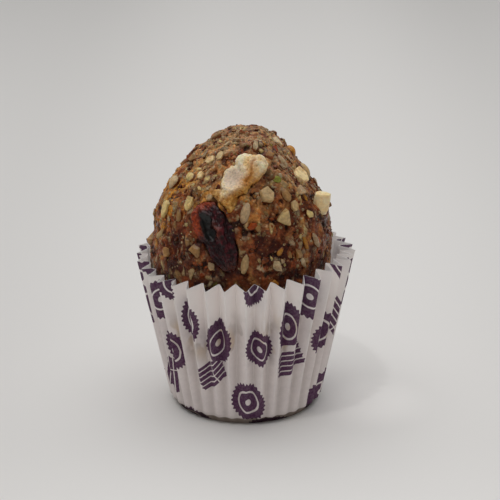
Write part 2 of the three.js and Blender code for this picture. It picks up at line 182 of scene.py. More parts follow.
# What is spread over the free part of the sweet besides.
MASH_CRUMBS = {"count": 1700, "heights": (30.5, 61.5), "seed": 12}
SMALL_BITS = {"count": 560, "lengths": (1.2, 3.0), "clearance": 0.12, "seed": 61}
FINE_CRUMBS = {"count": 1300, "lengths": (0.4, 1.0), "clearance": 0.05, "seed": 71}
STICKY_CRUMBS = {"count": 3600, "lengths": (0.4, 1.6), "seed": 81}
SMALL_BIT_HEIGHTS = (34.2, 61.1)
STICKY_CRUMB_HEIGHTS = (33.8, 61.3)
MASH_NUT_SHARE = 0.46
STICKY_NUT_SHARE = 0.34

# The seeds of the other streams.
FOLD_SEED = 5
ALMOND_SEED = 7
MASH_SEED = 11
SPIRAL_SEED = 41  # gives the bits that the solids have

# Flesh colours of what is chopped into the sweet, as linear reflectances.
FLESH = {
    "fresh": (0.74, 0.56, 0.30),
    "pale": (0.60, 0.46, 0.27),
    "cream": (0.46, 0.32, 0.155),
    "ivory": (0.40, 0.285, 0.130),
    "butter": (0.66, 0.50, 0.21),
    "rosy": (0.41, 0.285, 0.160),
    "tan": (0.34, 0.19, 0.070),
    "amber": (0.46, 0.20, 0.026),
    "orange": (0.32, 0.060, 0.009),
    "green": (0.27, 0.28, 0.050),
    "skin": (0.12, 0.025, 0.009),
}
DATE_DARK = (0.055, 0.008, 0.002)
DATE_BROWN = (0.215, 0.060, 0.018)
DATE_TAN = (0.470, 0.245, 0.085)
DATE_AMBER = (0.560, 0.250, 0.036)
DATE_RED = (0.300, 0.048, 0.008)
DATE_RUDDY = (0.400, 0.105, 0.022)  # the moist patch above the gum
DATE_DUST_AND_SHEEN = (0.440, 0.255, 0.140)  # where the rubbed top is paler and drier, with painted sheen there too
PASTE_FILM = (0.62, 0.40, 0.22)  # what shows through a thin film of paste
PASTE_WARMTH = (1.05, 0.98, 0.92)
AMBER_WARMTH = (0.16, 0.13, 0.04)  # what the amber parts have on top of that
BIT_WARMTH = (1.08, 0.97, 0.84)

# The paper's colours, and how much of the print and of the light each side lets show.
PAPER_WHITE = (0.87, 0.79, 0.77)
# The paler rim is painted light, as if the upper wall were lit through.
RIM_PAINTED_LIGHT = (0.99, 0.93, 0.90)
PURPLE = (0.072, 0.010, 0.066)
OUTER_SIDE = {"ink_share": 0.97, "light_through": 0.0}
INNER_SIDE = {"ink_share": 0.10, "light_through": 0.9}

# Camera and light. The camera's aim and distance are in millimetres, and its rise is in degrees.
CAMERA_AIM = (0.95, 0, 33.25)
CAMERA_RISE = 20
CAMERA_DISTANCE = 380
CAMERA_LENS = 129.24
LAMPS = (  # place and width in metres, watts, and the point that it faces
    ((-0.03, 0.16, 0.88), 1.5, 6.9, (0, 0, 0)),
    ((-0.20, -0.30, 0.80), 0.04, 0.5, (0, 0, 0.04)),
)
SURROUND = (0.80, 0.79, 0.78)
SURROUND_STRENGTH = 0.28
FLOOR_WHITE = (0.84, 0.825, 0.805)
FLOOR_SIZE = 6  # metres


# Small helpers.


def seeded_stream(seed):
    """A repeatable stream of numbers from 0 to 1."""
    word = 0xFFFFFFFF
    state = seed
    while True:
        state = (state + 0x6D2B79F5) & word
        t = ((state ^ (state >> 15)) * (1 | state)) & word
        t = ((t + (((t ^ (t >> 7)) * (61 | t)) & word)) ^ t) & word
        yield (t ^ (t >> 14)) / 4294967296


def between(limits, share):
    return limits[0] + (limits[1] - limits[0]) * share


def smoothstep(value, low, high):
    share = np.clip((value - low) / (high - low), 0, 1)
    return share * share * (3 - 2 * share)


def bell(value, middle, width):
    """One at the middle, and next to nothing two widths away from it."""
    return np.exp(-(((value - middle) / width) ** 2))


def unit(vectors):
    return vectors / np.maximum(np.linalg.norm(vectors, axis=-1, keepdims=True), 1e-9)


def relief(points, size, seed=0.0, stretch=1.0):
    """Smooth noise from about -1 to 1 over a size in millimetres, drawn out upwards by the stretch."""
    scaled = points / np.array((size, size, size * stretch)) + seed
    return np.array([noise.noise(Vector(p)) for p in scaled])


def layered(points, *layers):
    """Smooth noise in layers, each given by its strength and by what relief takes."""
    return sum(strength * relief(points, *layer) for strength, *layer in layers)


def pick(piece):
    bpy.ops.object.select_all(action="DESELECT")
    piece.select_set(True)
    bpy.context.view_layer.objects.active = piece


def added(name):
    """The primitive that was just added, under its own name."""
    piece = bpy.context.object
    piece.name = name
    piece.data.name = name
    return piece


def new_piece(name, points, faces):
    mesh = bpy.data.meshes.new(name)
    mesh.from_pydata(points.tolist(), [], faces.tolist())
    piece = bpy.data.objects.new(name, mesh)
    bpy.context.scene.collection.objects.link(piece)
    return piece


def read_vectors(items, field):
    flat = np.empty(len(items) * 3, np.float32)
    items.foreach_get(field, flat)
    return flat.reshape(-1, 3).astype(float)


def coordinates(piece):
    return read_vectors(piece.data.vertices, "co")


def surface_normals(piece):
    return read_vectors(piece.data.vertex_normals, "vector")


def move_to(piece, points):
    piece.data.vertices.foreach_set("co", np.asarray(points, np.float32).ravel())
    piece.data.update()


def edit_faces(piece, chosen=None):
    """Opens a piece in edit mode with the chosen faces selected, or all of them."""
    pick(piece)
    mesh = piece.data
    if chosen is not None:
        mesh.vertices.foreach_set("select", np.zeros(len(mesh.vertices), bool))
        mesh.edges.foreach_set("select", np.zeros(len(mesh.edges), bool))
        mesh.polygons.foreach_set("select", chosen)
    bpy.context.tool_settings.mesh_select_mode = (False, False, True)
    bpy.ops.object.mode_set(mode="EDIT")
    if chosen is None:
        bpy.ops.mesh.select_all(action="SELECT")


def leave_edit():
    bpy.ops.object.mode_set(mode="OBJECT")


def subdivide(piece, cuts, chosen=None):
    edit_faces(piece, chosen)
    bpy.ops.mesh.subdivide(number_cuts=cuts)
    leave_edit()


def to_triangles(piece):
    edit_faces(piece)
    bpy.ops.mesh.quads_convert_to_tris()
    leave_edit()


def face_outward(piece):
    edit_faces(piece)
    bpy.ops.mesh.normals_make_consistent(inside=False)
    leave_edit()


def keep_numbers(piece, **named):
    """Keeps one number a vertex for the materials, under each name."""
    for name, values in named.items():
        attribute = piece.data.attributes.new(name, "FLOAT", "POINT")
        attribute.data.foreach_set("value", np.asarray(values, np.float32))


def keep_colour(piece, name, colours):
    attribute = piece.data.attributes.new(name, "FLOAT_COLOR", "POINT")
    full = np.ones((len(colours), 4), np.float32)
    full[:, :3] = colours
    attribute.data.foreach_set("color", full.ravel())


def surface_tree(piece):
    """A tree for finding where a ray meets a piece's surface."""
    mesh = piece.data
    return BVHTree.FromPolygons(
        [v.co.copy() for v in mesh.vertices], [tuple(p.vertices) for p in mesh.polygons]
    )


def apply_modifier(piece, kind, **settings):
    pick(piece)
    modifier = piece.modifiers.new(kind.title(), kind)
    for name, value in settings.items():
        setattr(modifier, name, value)
    bpy.ops.object.modifier_apply(modifier=modifier.name)


def shade(piece, sharp_above=None):
    """Smooth shading, with the edges left sharp above an angle in degrees."""
    pick(piece)
    if sharp_above is None:
        bpy.ops.object.shade_smooth()
    else:
        bpy.ops.object.shade_smooth_by_angle(angle=math.radians(sharp_above))


def finish_piece(piece, materials, stands_for=None):
    """Brings a piece to metres, dresses it and fastens it to the frame."""
    piece.data.transform(Matrix.Scale(MM, 4))
    piece.data.update()
    for material in materials:
        piece.data.materials.append(material)
    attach(piece, "root")
    if stands_for:
        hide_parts(stands_for)


# The sweet's form.


def facing(azimuth, rise):
    """Directions from azimuths about the upright axis and rises above the horizon, in degrees."""
    a, r = np.radians(azimuth), np.radians(rise)
    return np.stack([np.sin(a) * np.cos(r), -np.cos(a) * np.cos(r), np.sin(r) + 0 * a], axis=-1)


def sweet_radius(z):
    upper = z > BELLY_HEIGHT
    reach = np.where(upper, TOP_HEIGHT - BELLY_HEIGHT, BELLY_HEIGHT - SWEET_FOOT)
    rise = np.minimum(1, np.abs(z - BELLY_HEIGHT) / reach)
    return SWEET_RADIUS * (1 - rise**2) ** np.where(upper, TOP_POINTEDNESS / 2, 0.5)


def sweet_offset(z):
    rise = np.clip((z - BELLY_HEIGHT) / (TOP_HEIGHT - BELLY_HEIGHT), 0, 1)
    return SWEET_SHIFT + TOP_LEAN * rise**1.5


def on_sweet(azimuth, z):
    """Points of the smooth egg at azimuths and heights, and the ways that its surface faces."""
    azimuth, z = np.broadcast_arrays(np.asarray(azimuth, float), np.asarray(z, float))
    step = 0.2
    slope = (sweet_radius(z + step) - sweet_radius(z - step)) / (2 * step)
    normals = facing(azimuth, np.degrees(np.arctan(-slope)))
    points = facing(azimuth, 0 * azimuth) * sweet_radius(z)[..., None]
    points[..., 2] = z
    points[..., 0] += sweet_offset(z)
    return points, normals


def stand_on(place):
    """A shape's place on the sweet: X runs across, Y up along the surface and Z out of it."""
    point, normal = on_sweet(place["azimuth"], place["height"])
    across = unit(np.cross((0, 0, 1), normal))
    along = np.cross(normal, across)
    turn = Matrix(np.stack([across, along, normal], axis=1).tolist()).to_4x4()
    spin = Matrix.Rotation(math.radians(place["spin"]), 4, "Z")
    lean = Matrix.Rotation(math.radians(place.get("lean", 0)), 4, "X")
    return Matrix.Translation(Vector(point - normal * place["sink"])) @ turn @ spin @ lean


def to_world(matrix, points):
    full = np.array(matrix)
    return points @ full[:3, :3].T + full[:3, 3]


def to_local(matrix, points):
    return to_world(matrix.inverted(), points)


def press_flats(points):
    middle = np.array((SWEET_SHIFT, 0, BELLY_HEIGHT))
    for azimuth, rise, distance, firmness in PALM_FLATS:
        way = facing(azimuth, rise)
        beyond = np.maximum((points - middle) @ way - distance, 0)
        points = points - beyond[..., None] * firmness * way
    return points


def press_crown(points):
    centre, normal = on_sweet(CROWN_DENT["azimuth"], CROWN_DENT["height"])
    distance = np.linalg.norm(points - centre, axis=-1) / CROWN_DENT["radius"]
    depth = CROWN_DENT["depth"] * np.maximum(1 - distance**2, 0) ** 2
    return points - depth[..., None] * normal


# The large inclusions.


def blunt_length(vectors, power):
    """A length whose ball has flattened sides and blunt ends, the more so the higher the power."""
    return (np.abs(vectors) ** power).sum(-1) ** (1 / power)


def into_dish(flat):
    """How far points lie inside the ball that leaves the gum's dish."""
    return GUM_DISH[3] - np.linalg.norm(flat - np.array(GUM_DISH[:3]), axis=-1)


def outside_gum(local):
    """How far points lie outside the gum's lobes, in the gum's own frame."""
    flat = local / GUM_SQUASH
    depths = 0
    for x, y, z, radius in GUM_LOBES:
        away = np.linalg.norm(flat - np.array((x, y, z)), axis=-1)
        depths = depths + np.exp((radius - away) / GUM_BLEND)
    lobes = -GUM_BLEND * np.log(np.maximum(depths, 1e-30))
    return GUM_BLEND * np.logaddexp(lobes / GUM_BLEND, into_dish(flat) / GUM_BLEND)


def bend_berry(ball):
    """The berry's smooth form: narrower at its lower end, and bent."""
    local = ball * np.array(BERRY_SIZE) / 2
    y = ball[..., 1]
    local[..., 0] = local[..., 0] * (1 + BERRY_TAPER * y) + BERRY_BEND * (1 - y * y)
    return local


def outside_berry(local):
    """How far points lie outside the berry's smooth form, roughly."""
    half = np.array(BERRY_SIZE) / 2
    y = np.clip(local[..., 1] / half[1], -1, 1)
    ball = local / half
    ball[..., 0] = (local[..., 0] - BERRY_BEND * (1 - y * y)) / (1 + BERRY_TAPER * y) / half[0]
    return (blunt_length(ball, BERRY_BLUNTNESS) - 1) * half.min()


def outside_almond(local):
    half = np.array(ALMOND_SIZE) / 2
    return (blunt_length(local / half, 4) - 1) * half.min()


def gum_split(local):
    """The way along the split from 0 to 1, and how far points of the gum's top lie from it."""
    start, end = np.array(GUM_SPLIT)
    line = end - start
    along = np.clip(((local[:, :2] - start) @ line) / (line @ line), 0, 1)
    bend = 0.35 * np.sin(along * 7)
    apart = local[:, :2] - start - along[:, None] * line
    return along, np.hypot(apart[:, 0] + bend, apart[:, 1])


def puffed_gum():
    """Lobes that have burst and run together, with a smooth dish, a split and a crumbly crust."""
    bpy.ops.mesh.primitive_ico_sphere_add(subdivisions=7, radius=1)
    gum = added("puffed_gum_piece")
    ways = unit(coordinates(gum))
    inside, outside = np.zeros(len(ways)), np.full(len(ways), 12.0)
    for _ in range(14):  # halves the gap in which each way meets the surface
        reach = (inside + outside) / 2
        filled = outside_gum(ways * reach[:, None] * GUM_SQUASH) < 0
        inside = np.where(filled, reach, inside)
        outside = np.where(filled, outside, reach)
    local = ways * inside[:, None] * GUM_SQUASH
    move_to(gum, local)
    normal = surface_normals(gum)

    into = into_dish(local / GUM_SQUASH)
    dish = smoothstep(into, -0.55, -0.10)
    lip = bell(into, -0.75, 0.35) * (local[:, 2] > 0.8)
    along, away = gum_split(local)
    above = smoothstep(local[:, 2], 0.2, 1.2)
    split = bell(away, 0, 0.30) * above
    stain = bell(away, 0, 1.3) * above * (0.35 + 0.65 * along)
    torn = smoothstep(-local[:, 1], 1.0, 4.5)
    low = 1 - smoothstep(local[:, 2], -0.2, 1.3)

    puffs = 0.5 - np.abs(relief(local, 1.9, 4.1)) - 0.6 * np.abs(relief(local, 0.95, 6.4))
    crust = (0.26 + 0.40 * torn) * puffs
    crust += (0.09 + 0.10 * low + 0.14 * torn) * relief(local, 0.55, 9.2)
    crust += (0.05 + 0.04 * torn) * relief(local, 0.26, 2.7)
    ragged = 0.45 * (low + 0.7 * torn) * relief(local, 0.9, 33.0)
    height = (1 - 0.8 * dish) * (crust + ragged) - (0.15 + 0.20 * along) * split
    height += lip * (0.16 + 0.22 * relief(local, 0.8, 51.0))
    pores = smoothstep(relief(local, 0.55, 17.0), 0.36, 0.6) * (1 - dish)
    height -= 0.14 * pores
    # The flank facing down and right, which the material browns, partly as painted shade.
    flank = smoothstep(local @ np.array((0.55, -0.85, -0.25)), -1.3, 1.0)
    keep_numbers(
        gum,
        split=np.clip(split + 0.5 * pores, 0, 1),
        stain=stain,
        dish=dish,
        # lip marks the edge of the dish, which the material whitens as a painted highlight.
        lip=lip,
        side=np.maximum(flank, 0.9 * smoothstep(-local[:, 0], 3.6, 4.5)),
        sunk=1 - np.clip(local[:, 2] / 1.3, 0, 1),
        # deep marks the dips of the crust, which the material darkens as painted shade.
        deep=np.clip(-2.5 * height, 0, 1),
    )
    move_to(gum, to_world(stand_on(GUM), local + normal * height[:, None]))
    return gum


def dried_berry():
    """A long wrinkled skin with a hollow near its upper end and a fold beside it."""
    bpy.ops.mesh.primitive_uv_sphere_add(segments=200, ring_count=130, radius=1)
    berry = added("dried_berry_piece")
    ways = coordinates(berry)[:, [0, 2, 1]] * np.array((1, 1, -1))
    ball = ways / np.maximum(blunt_length(ways, BERRY_BLUNTNESS), 1e-9)[:, None]
    local = bend_berry(ball)
    around = np.arctan2(ways[:, 2], ways[:, 0])
    waist = np.sqrt(np.maximum(0, 1 - ways[:, 1] ** 2))
    bent = around * 7 + 2.2 * ways[:, 1] + 1.5 * np.sin(3 * ways[:, 1])
    wander = relief(local, 2.2, 3.3)
    ridges = np.sin(bent + 1.2 * wander)
    creases = -np.abs(np.sin(around * 13 + 3.1 * ways[:, 1] + 3.0 * wander)) ** 0.5
    puckers = -np.abs(relief(local, 0.9, 8.8)) ** 0.7
    fibres = relief(local, 0.35, 14.0)
    height = waist * (0.30 * ridges + 0.28 * creases) + 0.26 * puckers + 0.05 * fibres + 0.22
    local = local + unit(ball / (np.array(BERRY_SIZE) / 2)) * height[:, None]

    centre = np.array(BERRY_HOLLOW["centre"])
    size = np.array(BERRY_HOLLOW["half"])
    ruffle = 1 + 0.16 * relief(local, 1.1, 5.5)
    inside = 1 - np.linalg.norm((local - centre) / size, axis=1) / ruffle
    flat = (local[:, :2] - centre[:2]) / size[:2]
    floor = centre[2] - size[2] * np.sqrt(np.maximum(0, 1 - (flat**2).sum(1)))
    floor += 0.25 * relief(local, 0.9, 2.2)
    x, y, z = local.T
    fold = bell(x - 0.25 * np.sin(2 * y), 1.35, 0.55)
    fold = fold * smoothstep(y, -1.2, 0.2) * (1 - smoothstep(y, 2.6, 3.6))
    z[:] = np.where((inside > 0) & (z > 0), np.maximum(floor, z - 3.2), z)
    z += np.where(z > 0, 0.75 * fold, 0)
    # Painted light: the upper left side, the upper end and the fold are marked to be redder, as if lit.
    left = smoothstep(-x + 0.12 * y + 0.5 * wander, 1.1, 2.5)
    blush = np.maximum(left * smoothstep(y, 0.2, 3.0), 0.8 * smoothstep(y, 5.4, 6.8))
    keep_numbers(
        berry,
        # hollow and crease mark where the material paints shade.
        hollow=smoothstep(inside, -0.10, 0.10) * (z > -0.5) * (1 - 0.75 * fold),
        crease=np.clip(-creases * 0.3 - puckers, 0, 1),
        # This marks where the material paints light.
        blush=np.clip(blush + 0.35 * fold, 0, 1),
        tip=smoothstep(-y, 5.2, 7.0),
        fibre=fibres * 0.5 + 0.5,
    )
    move_to(berry, to_world(stand_on(BERRY), local))
    face_outward(berry)
    return berry


def almond_chunk():
    """A broken corner of a nut with flat sides and worn edges."""
    bpy.ops.mesh.primitive_cube_add(size=2)
    chunk = added("almond_chunk_piece")
    subdivide(chunk, 2)
    stream = seeded_stream(ALMOND_SEED)
    points = coordinates(chunk)
    sides = (np.abs(points) > 0.99).sum(1)  # 2 along an edge, 3 at a corner
    worn = np.choose(sides, (1.0, 1.0, 0.89, 0.74))
    worn = worn * np.array([between((0.95, 1.03), next(stream)) for _ in worn])
    points = points * worn[:, None] * np.array(ALMOND_SIZE) / 2
    points[:, 0] += ALMOND_SKEW * points[:, 1] * np.sign(points[:, 2])
    move_to(chunk, points)
    slope = math.radians(ALMOND_SPLIT["slope"])
    edit_faces(chunk)
    bpy.ops.mesh.bisect(
        plane_co=(ALMOND_SPLIT["x"], 0, ALMOND_SPLIT["z"]),
        plane_no=(-math.sin(slope), 0, math.cos(slope)),
        use_fill=True,
        clear_outer=True,
    )
    leave_edit()
    apply_modifier(chunk, "BEVEL", width=0.28, segments=3, limit_method="ANGLE", angle_limit=0.45)
    to_triangles(chunk)
    subdivide(chunk, 3)
    local = coordinates(chunk)
    height = layered(local, (0.07, 1.3, 6.0), (0.03, 0.45, 1.0))
    local = local + surface_normals(chunk) * height[:, None]
    keep_numbers(chunk, sunk=smoothstep(-local[:, 2], 0.2, 1.6))
    move_to(chunk, to_world(stand_on(ALMOND), local))
    return chunk


# Each with the function that tells how far points lie outside it, and how near the mass comes.
INCLUSIONS = ((GUM, outside_gum, 0.02), (BERRY, outside_berry, 0.02), (ALMOND, outside_almond, 0.04))


# The pressed mass.


def sweet_body():
    """The mass, fine where it stands out of the case and plain where the case hides it."""
    bpy.ops.mesh.primitive_cube_add(size=2)
    body = added("laddu_mass")
    subdivide(body, 31)
    subdivide(body, 4, read_vectors(body.data.polygons, "center")[:, 2] > -0.13)
    ways = unit(np.tan(coordinates(body) * math.pi / 4))
    reach = np.where(ways[:, 2] > 0, TOP_HEIGHT - BELLY_HEIGHT, BELLY_HEIGHT - SWEET_FOOT)
    azimuth = np.degrees(np.arctan2(ways[:, 0], -ways[:, 1]))
    points, normals = on_sweet(azimuth, BELLY_HEIGHT + ways[:, 2] * reach)
    points = press_crown(press_flats(points))
    lumps = layered(points, (0.55, 8.0, 0.4), (0.50, 3.4, 7.1), (0.22, 1.9, 19.3))
    free = smoothstep(points[:, 2], *HELD_HEIGHTS)
    lumps -= 0.5 * free * bell(azimuth, -95, 50)
    lumps = np.where(lumps < 0, lumps, lumps * free)
    points = points + normals * lumps[:, None]
    points[:, 2] = np.maximum(points[:, 2], SWEET_FOOT)
    move_to(body, points)
    return body


def spread_places(count, heights, seed):
    """Azimuths and heights spread evenly over the free part of the egg."""
    stream = seeded_stream(seed)
    table = np.linspace(heights[0], heights[1], 200)
    slope = np.gradient(sweet_radius(table), table)
    area = np.cumsum(sweet_radius(table) * np.sqrt(1 + np.minimum(slope**2, 60)))
    area = (area - area[0]) / (area[-1] - area[0])
    places = []
    for i in range(count):
        share = (i + next(stream)) / count
        azimuth = math.degrees(i * GOLDEN_ANGLE) + 10 * next(stream)
        places.append(((azimuth + 180) % 360 - 180, float(np.interp(share, area, table))))
    return places


def hand_mix(azimuth, height):
    """How far places lie in the amber parts (the left side, partly painted light, and about the gum), in the
    dark front, which is painted shade, and on the top.
    """
    amber = np.maximum.reduce([
        # The amber on the left side is partly painted light, a glow as if lit from behind.
        bell(azimuth, -76, 34) * smoothstep(height, 32.5, 38.0),
        0.7 * bell(azimuth, -20, 20) * bell(height, 51.5, 6.5),
        0.6 * bell(azimuth, 3, 8) * bell(height, 47.6, 2.2),
    ])
    # Painted shade on the lower front.
    dark = bell(azimuth, 2, 60) * bell(height, 35.5, 9.5)
    return amber, dark, smoothstep(height, 47.5, 57.5)


def crumb_colour(azimuth, height, chance, tone, nutty):
    """The colour of a crumb: a nut in so many cases, dark or amber paste in the others."""
    amber, dark, top = hand_mix(azimuth, height)
    # Fewer pale nuts in the painted shade of the lower front, more on the top.
    nut = nutty * (1 + 0.3 * amber - 0.5 * dark + 0.4 * top)
    nut += 0.6 * bell(azimuth, -32, 11) * bell(height, 50.0, 2.3)
    if chance < nut:
        flesh = CRUMB_FLESHES[int(tone * 7.99)]
        return np.array(FLESH[flesh]) * between((0.5, 0.9), (tone * 7) % 1)
    if chance < nut + 0.03:
        return np.array(FLESH["orange"]) * between((0.5, 1.0), tone)
    if chance < nut + 0.034:
        return np.array(FLESH["green"]) * between((0.5, 0.8), tone)
    return None


def toward(colours, goal, share):
    """Colours moved to a goal by a share for each."""
    return colours + (np.array(goal) - colours) * share[:, None]


def paste_colours(points, tall=0.0):
    """Date paste: dark, tan, amber and red by turns, with painted light making it paler the taller it stands
    and painted shade making it darker at the lower front.
    """
    height = points[:, 2]
    azimuth = np.degrees(np.arctan2(points[:, 0], -points[:, 1]))
    amber, dark, top = hand_mix(azimuth, height)
    tone = 0.44 + layered(points, (0.60, 5.0, 13.0, 1.2), (0.60, 2.1, 5.0, 1.4), (0.20, 0.8, 2.0, 1.2))
    # Painted light: paler on raised grain and high on the sweet; painted shade: darker at the lower front.
    tone = tone + 0.34 * amber - 0.30 * dark + tall + 0.10 * top + 0.14 * smoothstep(height, 40, 50)
    share = np.clip(tone, 0, 1) * 2
    glow = np.clip(0.15 + amber + 0.8 * relief(points, 4.0, 41.0), 0, 1)
    pale = toward(np.array(DATE_TAN), DATE_AMBER, glow)
    colour = toward(np.array(DATE_DARK), DATE_BROWN, np.minimum(share, 1))
    colour = colour + (pale - np.array(DATE_BROWN)) * np.maximum(share - 1, 0)[:, None]
    red = smoothstep(relief(points, 3.1, 77.0), 0.14, 0.45) * np.clip(1.6 * tone - 0.4, 0, 1)
    ruddy = bell(azimuth, -18, 12) * bell(height, 54.8, 2.2)
    # Paler on the top: partly a dusting of nut, partly painted sheen.
    dust_and_sheen = top * smoothstep(tone + 0.5 * relief(points, 2.6, 50.0), 0.25, 0.85) * (1 - ruddy)
    colour = toward(colour, DATE_RED, 0.6 * red)
    colour = toward(colour, DATE_RUDDY, 0.65 * ruddy)
    colour = toward(colour, DATE_DUST_AND_SHEEN, 0.65 * dust_and_sheen)
    return colour * (np.array(PASTE_WARMTH) + amber[:, None] * np.array(AMBER_WARMTH))


def crumble(body):
    """Works nut crumbs into the free surface, each a tilted facet of its own flesh, in lumpy paste."""
    points = coordinates(body)
    normal = surface_normals(body)
    stream = seeded_stream(MASH_SEED)
    squeeze = np.array((1, 1, 0.78))  # makes the crumbs taller than wide
    places = spread_places(**MASH_CRUMBS)
    centres, _ = on_sweet([a for a, _ in places], [z for _, z in places])
    centres = press_crown(press_flats(centres))
    tree = KDTree(len(places))
    fleshes, heights, tilts = np.zeros((len(places), 3)), [], []
    nutty = np.zeros(len(places), bool)
    for index, (azimuth, height) in enumerate(places):
        tree.insert(Vector(centres[index] * squeeze), index)
        flesh = crumb_colour(azimuth, height, next(stream), next(stream), MASH_NUT_SHARE)
        if flesh is not None:
            nutty[index], fleshes[index] = True, flesh
        heights.append(next(stream))
        tilts.append([2 * next(stream) - 1 for _ in range(3)])
    tree.balance()
    heights, tilts = np.array(heights), np.array(tilts)

    shift = np.stack([relief(points, 1.2, seed) for seed in (1.3, 21.7, 44.1)], axis=1)
    found = [tree.find_n(Vector(place), 2) for place in (points + 0.65 * shift) * squeeze]
    nearest = np.array([one for (_, one, _), _ in found])
    edge = np.array([(far - near) / 0.8 for (_, _, near), (_, _, far) in found]).clip(0, 1)
    free = smoothstep(points[:, 2], 29.5, 34.5)
    grain = layered(points, (0.26, 2.2, 3.9, 1.2), (0.15, 1.1, 8.3), (0.055, 0.5, 15.1))
    facet = 0.05 + 0.16 * heights[nearest] + 0.22 * ((points - centres[nearest]) * tilts[nearest]).sum(1)
    facet = np.clip(facet, -0.06, 0.34) + 0.4 * grain
    whole = nutty[nearest] * smoothstep(edge, 0.05, 0.8)
    pits = 0.46 * smoothstep(relief(points, 1.7, 61.0), 0.22, 0.58)
    height = free * (grain + (facet - grain) * whole - pits)
    height = np.where(free < 1, np.minimum(height, 0.15 * free), height)
    move_to(body, points + normal * height[:, None])
    # Painted light and shade: the paste is paler on its bumps and darker in its pits.
    paste = paste_colours(points, 1.1 * (grain - pits))
    bare = 0.25 + 0.70 * smoothstep(heights[nearest] + 0.8 * relief(points, 1.3, 90.0), 0.1, 0.9)
    show = (bare * nutty[nearest] * smoothstep(edge + 1.2 * grain - pits, 0.05, 0.65))[:, None]
    keep_colour(body, "mash", paste * (1 - show) + fleshes[nearest] * show)
    # crevice marks the dips and the rims of nuts, where the material lays more paste and paints shade.
    keep_numbers(body, crevice=np.clip(-2.2 * height + 0.5 * nutty[nearest] * (1 - edge), 0, 1))


def press_in(body):
    """Pushes the mass in under the large inclusions, and raises a rim of paste round them."""
    points = coordinates(body)
    step = 0.25
    for place, outside, fit in INCLUSIONS:
        matrix = stand_on(place)
        _, way = on_sweet(place["azimuth"], place["height"])
        local = to_local(matrix, points)
        near = (np.linalg.norm(local, axis=1) < 13) & (local[:, 2] > -6)
        chosen = points[near]
        moved = np.zeros(len(chosen))
        for _ in range(26):
            buried = outside(to_local(matrix, chosen - moved[:, None] * way)) < fit
            moved = moved + step * buried
        moved = np.maximum(moved - 0.12, 0)
        rim = 0.16 * bell(outside(local[near]), 0.45, 0.4) * (moved == 0)
        points[near] = chosen + (rim - moved)[:, None] * way
    move_to(body, points)


# Chopped nuts and seeds.


def chip_form(name, seed, planes, bevel):
    """A chip of nut: a block split by planes, with the edges a little worn."""
    stream = seeded_stream(seed)
    bpy.ops.mesh.primitive_cube_add(size=2)
    chip = added(name)
    edit_faces(chip)
    for _ in range(planes):
        turn, rise = 2 * math.pi * next(stream), 2 * next(stream) - 1
        flat = math.sqrt(1 - rise * rise)
        way = Vector((flat * math.cos(turn), flat * math.sin(turn), rise))
        bpy.ops.mesh.select_all(action="SELECT")
        bpy.ops.mesh.bisect(
            plane_co=way * between((0.72, 0.98), next(stream)),
            plane_no=way,
            use_fill=True,
            clear_outer=True,
        )
    leave_edit()
    if bevel:
        apply_modifier(chip, "BEVEL", width=bevel, segments=1, limit_method="NONE")
    edit_faces(chip)
    bpy.ops.mesh.remove_doubles(threshold=0.02)
    leave_edit()
    to_triangles(chip)
    face_outward(chip)
    return chip


def slab_form(name, corners, seed, bevel):
    """A flat broken slice of nut: a block of a few corners with a smaller, tilted top."""
    stream = seeded_stream(seed)
    bpy.ops.mesh.primitive_cylinder_add(vertices=corners, radius=1, depth=1.7)
    slab = added(name)
    points = coordinates(slab)
    turns = np.arctan2(points[:, 1], points[:, 0]).round(2)
    uneven = {turn: between((0.80, 1.15), next(stream)) for turn in sorted(set(turns))}
    points[:, :2] *= np.array([uneven[turn] for turn in turns])[:, None]
    top = points[:, 2] > 0
    points[top, :2] = points[top, :2] * 0.86 + np.array((0.05, 0.03))
    points[:, 2] += 0.16 * points[:, 0] - 0.10 * points[:, 1]
    move_to(slab, points)
    apply_modifier(slab, "BEVEL", width=bevel, segments=2, limit_method="NONE")
    to_triangles(slab)
    face_outward(slab)
    return slab


def seed_form(taper):
    """A seed: a flattened ball that narrows to one end."""
    bpy.ops.mesh.primitive_uv_sphere_add(segments=18, ring_count=12, radius=1)
    seed = added("seed")
    points = coordinates(seed)[:, [0, 2, 1]] * np.array((1, 1, -1))
    points[:, [0, 2]] *= (1 - taper * np.clip(points[:, 1:2], -1, 1))
    move_to(seed, points)
    to_triangles(seed)
    face_outward(seed)
    return seed


def granule_form(seed):
    """A granule of twenty faces, each corner in or out a little."""
    stream = seeded_stream(seed)
    bpy.ops.mesh.primitive_ico_sphere_add(subdivisions=1, radius=1)
    granule = added("granule")
    points = coordinates(granule)
    move_to(granule, points * np.array([between((0.72, 1.25), next(stream)) for _ in points])[:, None])
    return granule


def shape_of(piece):
    """A model's points and triangles, ready to be copied."""
    points = coordinates(piece)
    faces = np.array([tuple(p.vertices) for p in piece.data.polygons])
    bpy.data.objects.remove(piece)
    return points, faces


def finer(name, shapes, cuts, roughness, seed_start=0.0, seed_step=0.0):
    """The same models with finer faces and a grain, for the pieces that show large."""
    fine_shapes = []
    for index, shape in enumerate(shapes):
        piece = new_piece(name, *shape)
        subdivide(piece, cuts)
        apply_modifier(piece, "SMOOTH", factor=0.5, iterations=2)
        local = coordinates(piece)
        seed = seed_start + seed_step * index
        height = roughness * layered(local, (1.0, 0.7, seed), (0.5, 0.28, seed + 3))
        move_to(piece, local + surface_normals(piece) * height[:, None])
        to_triangles(piece)
        fine_shapes.append(shape_of(piece))
    return fine_shapes


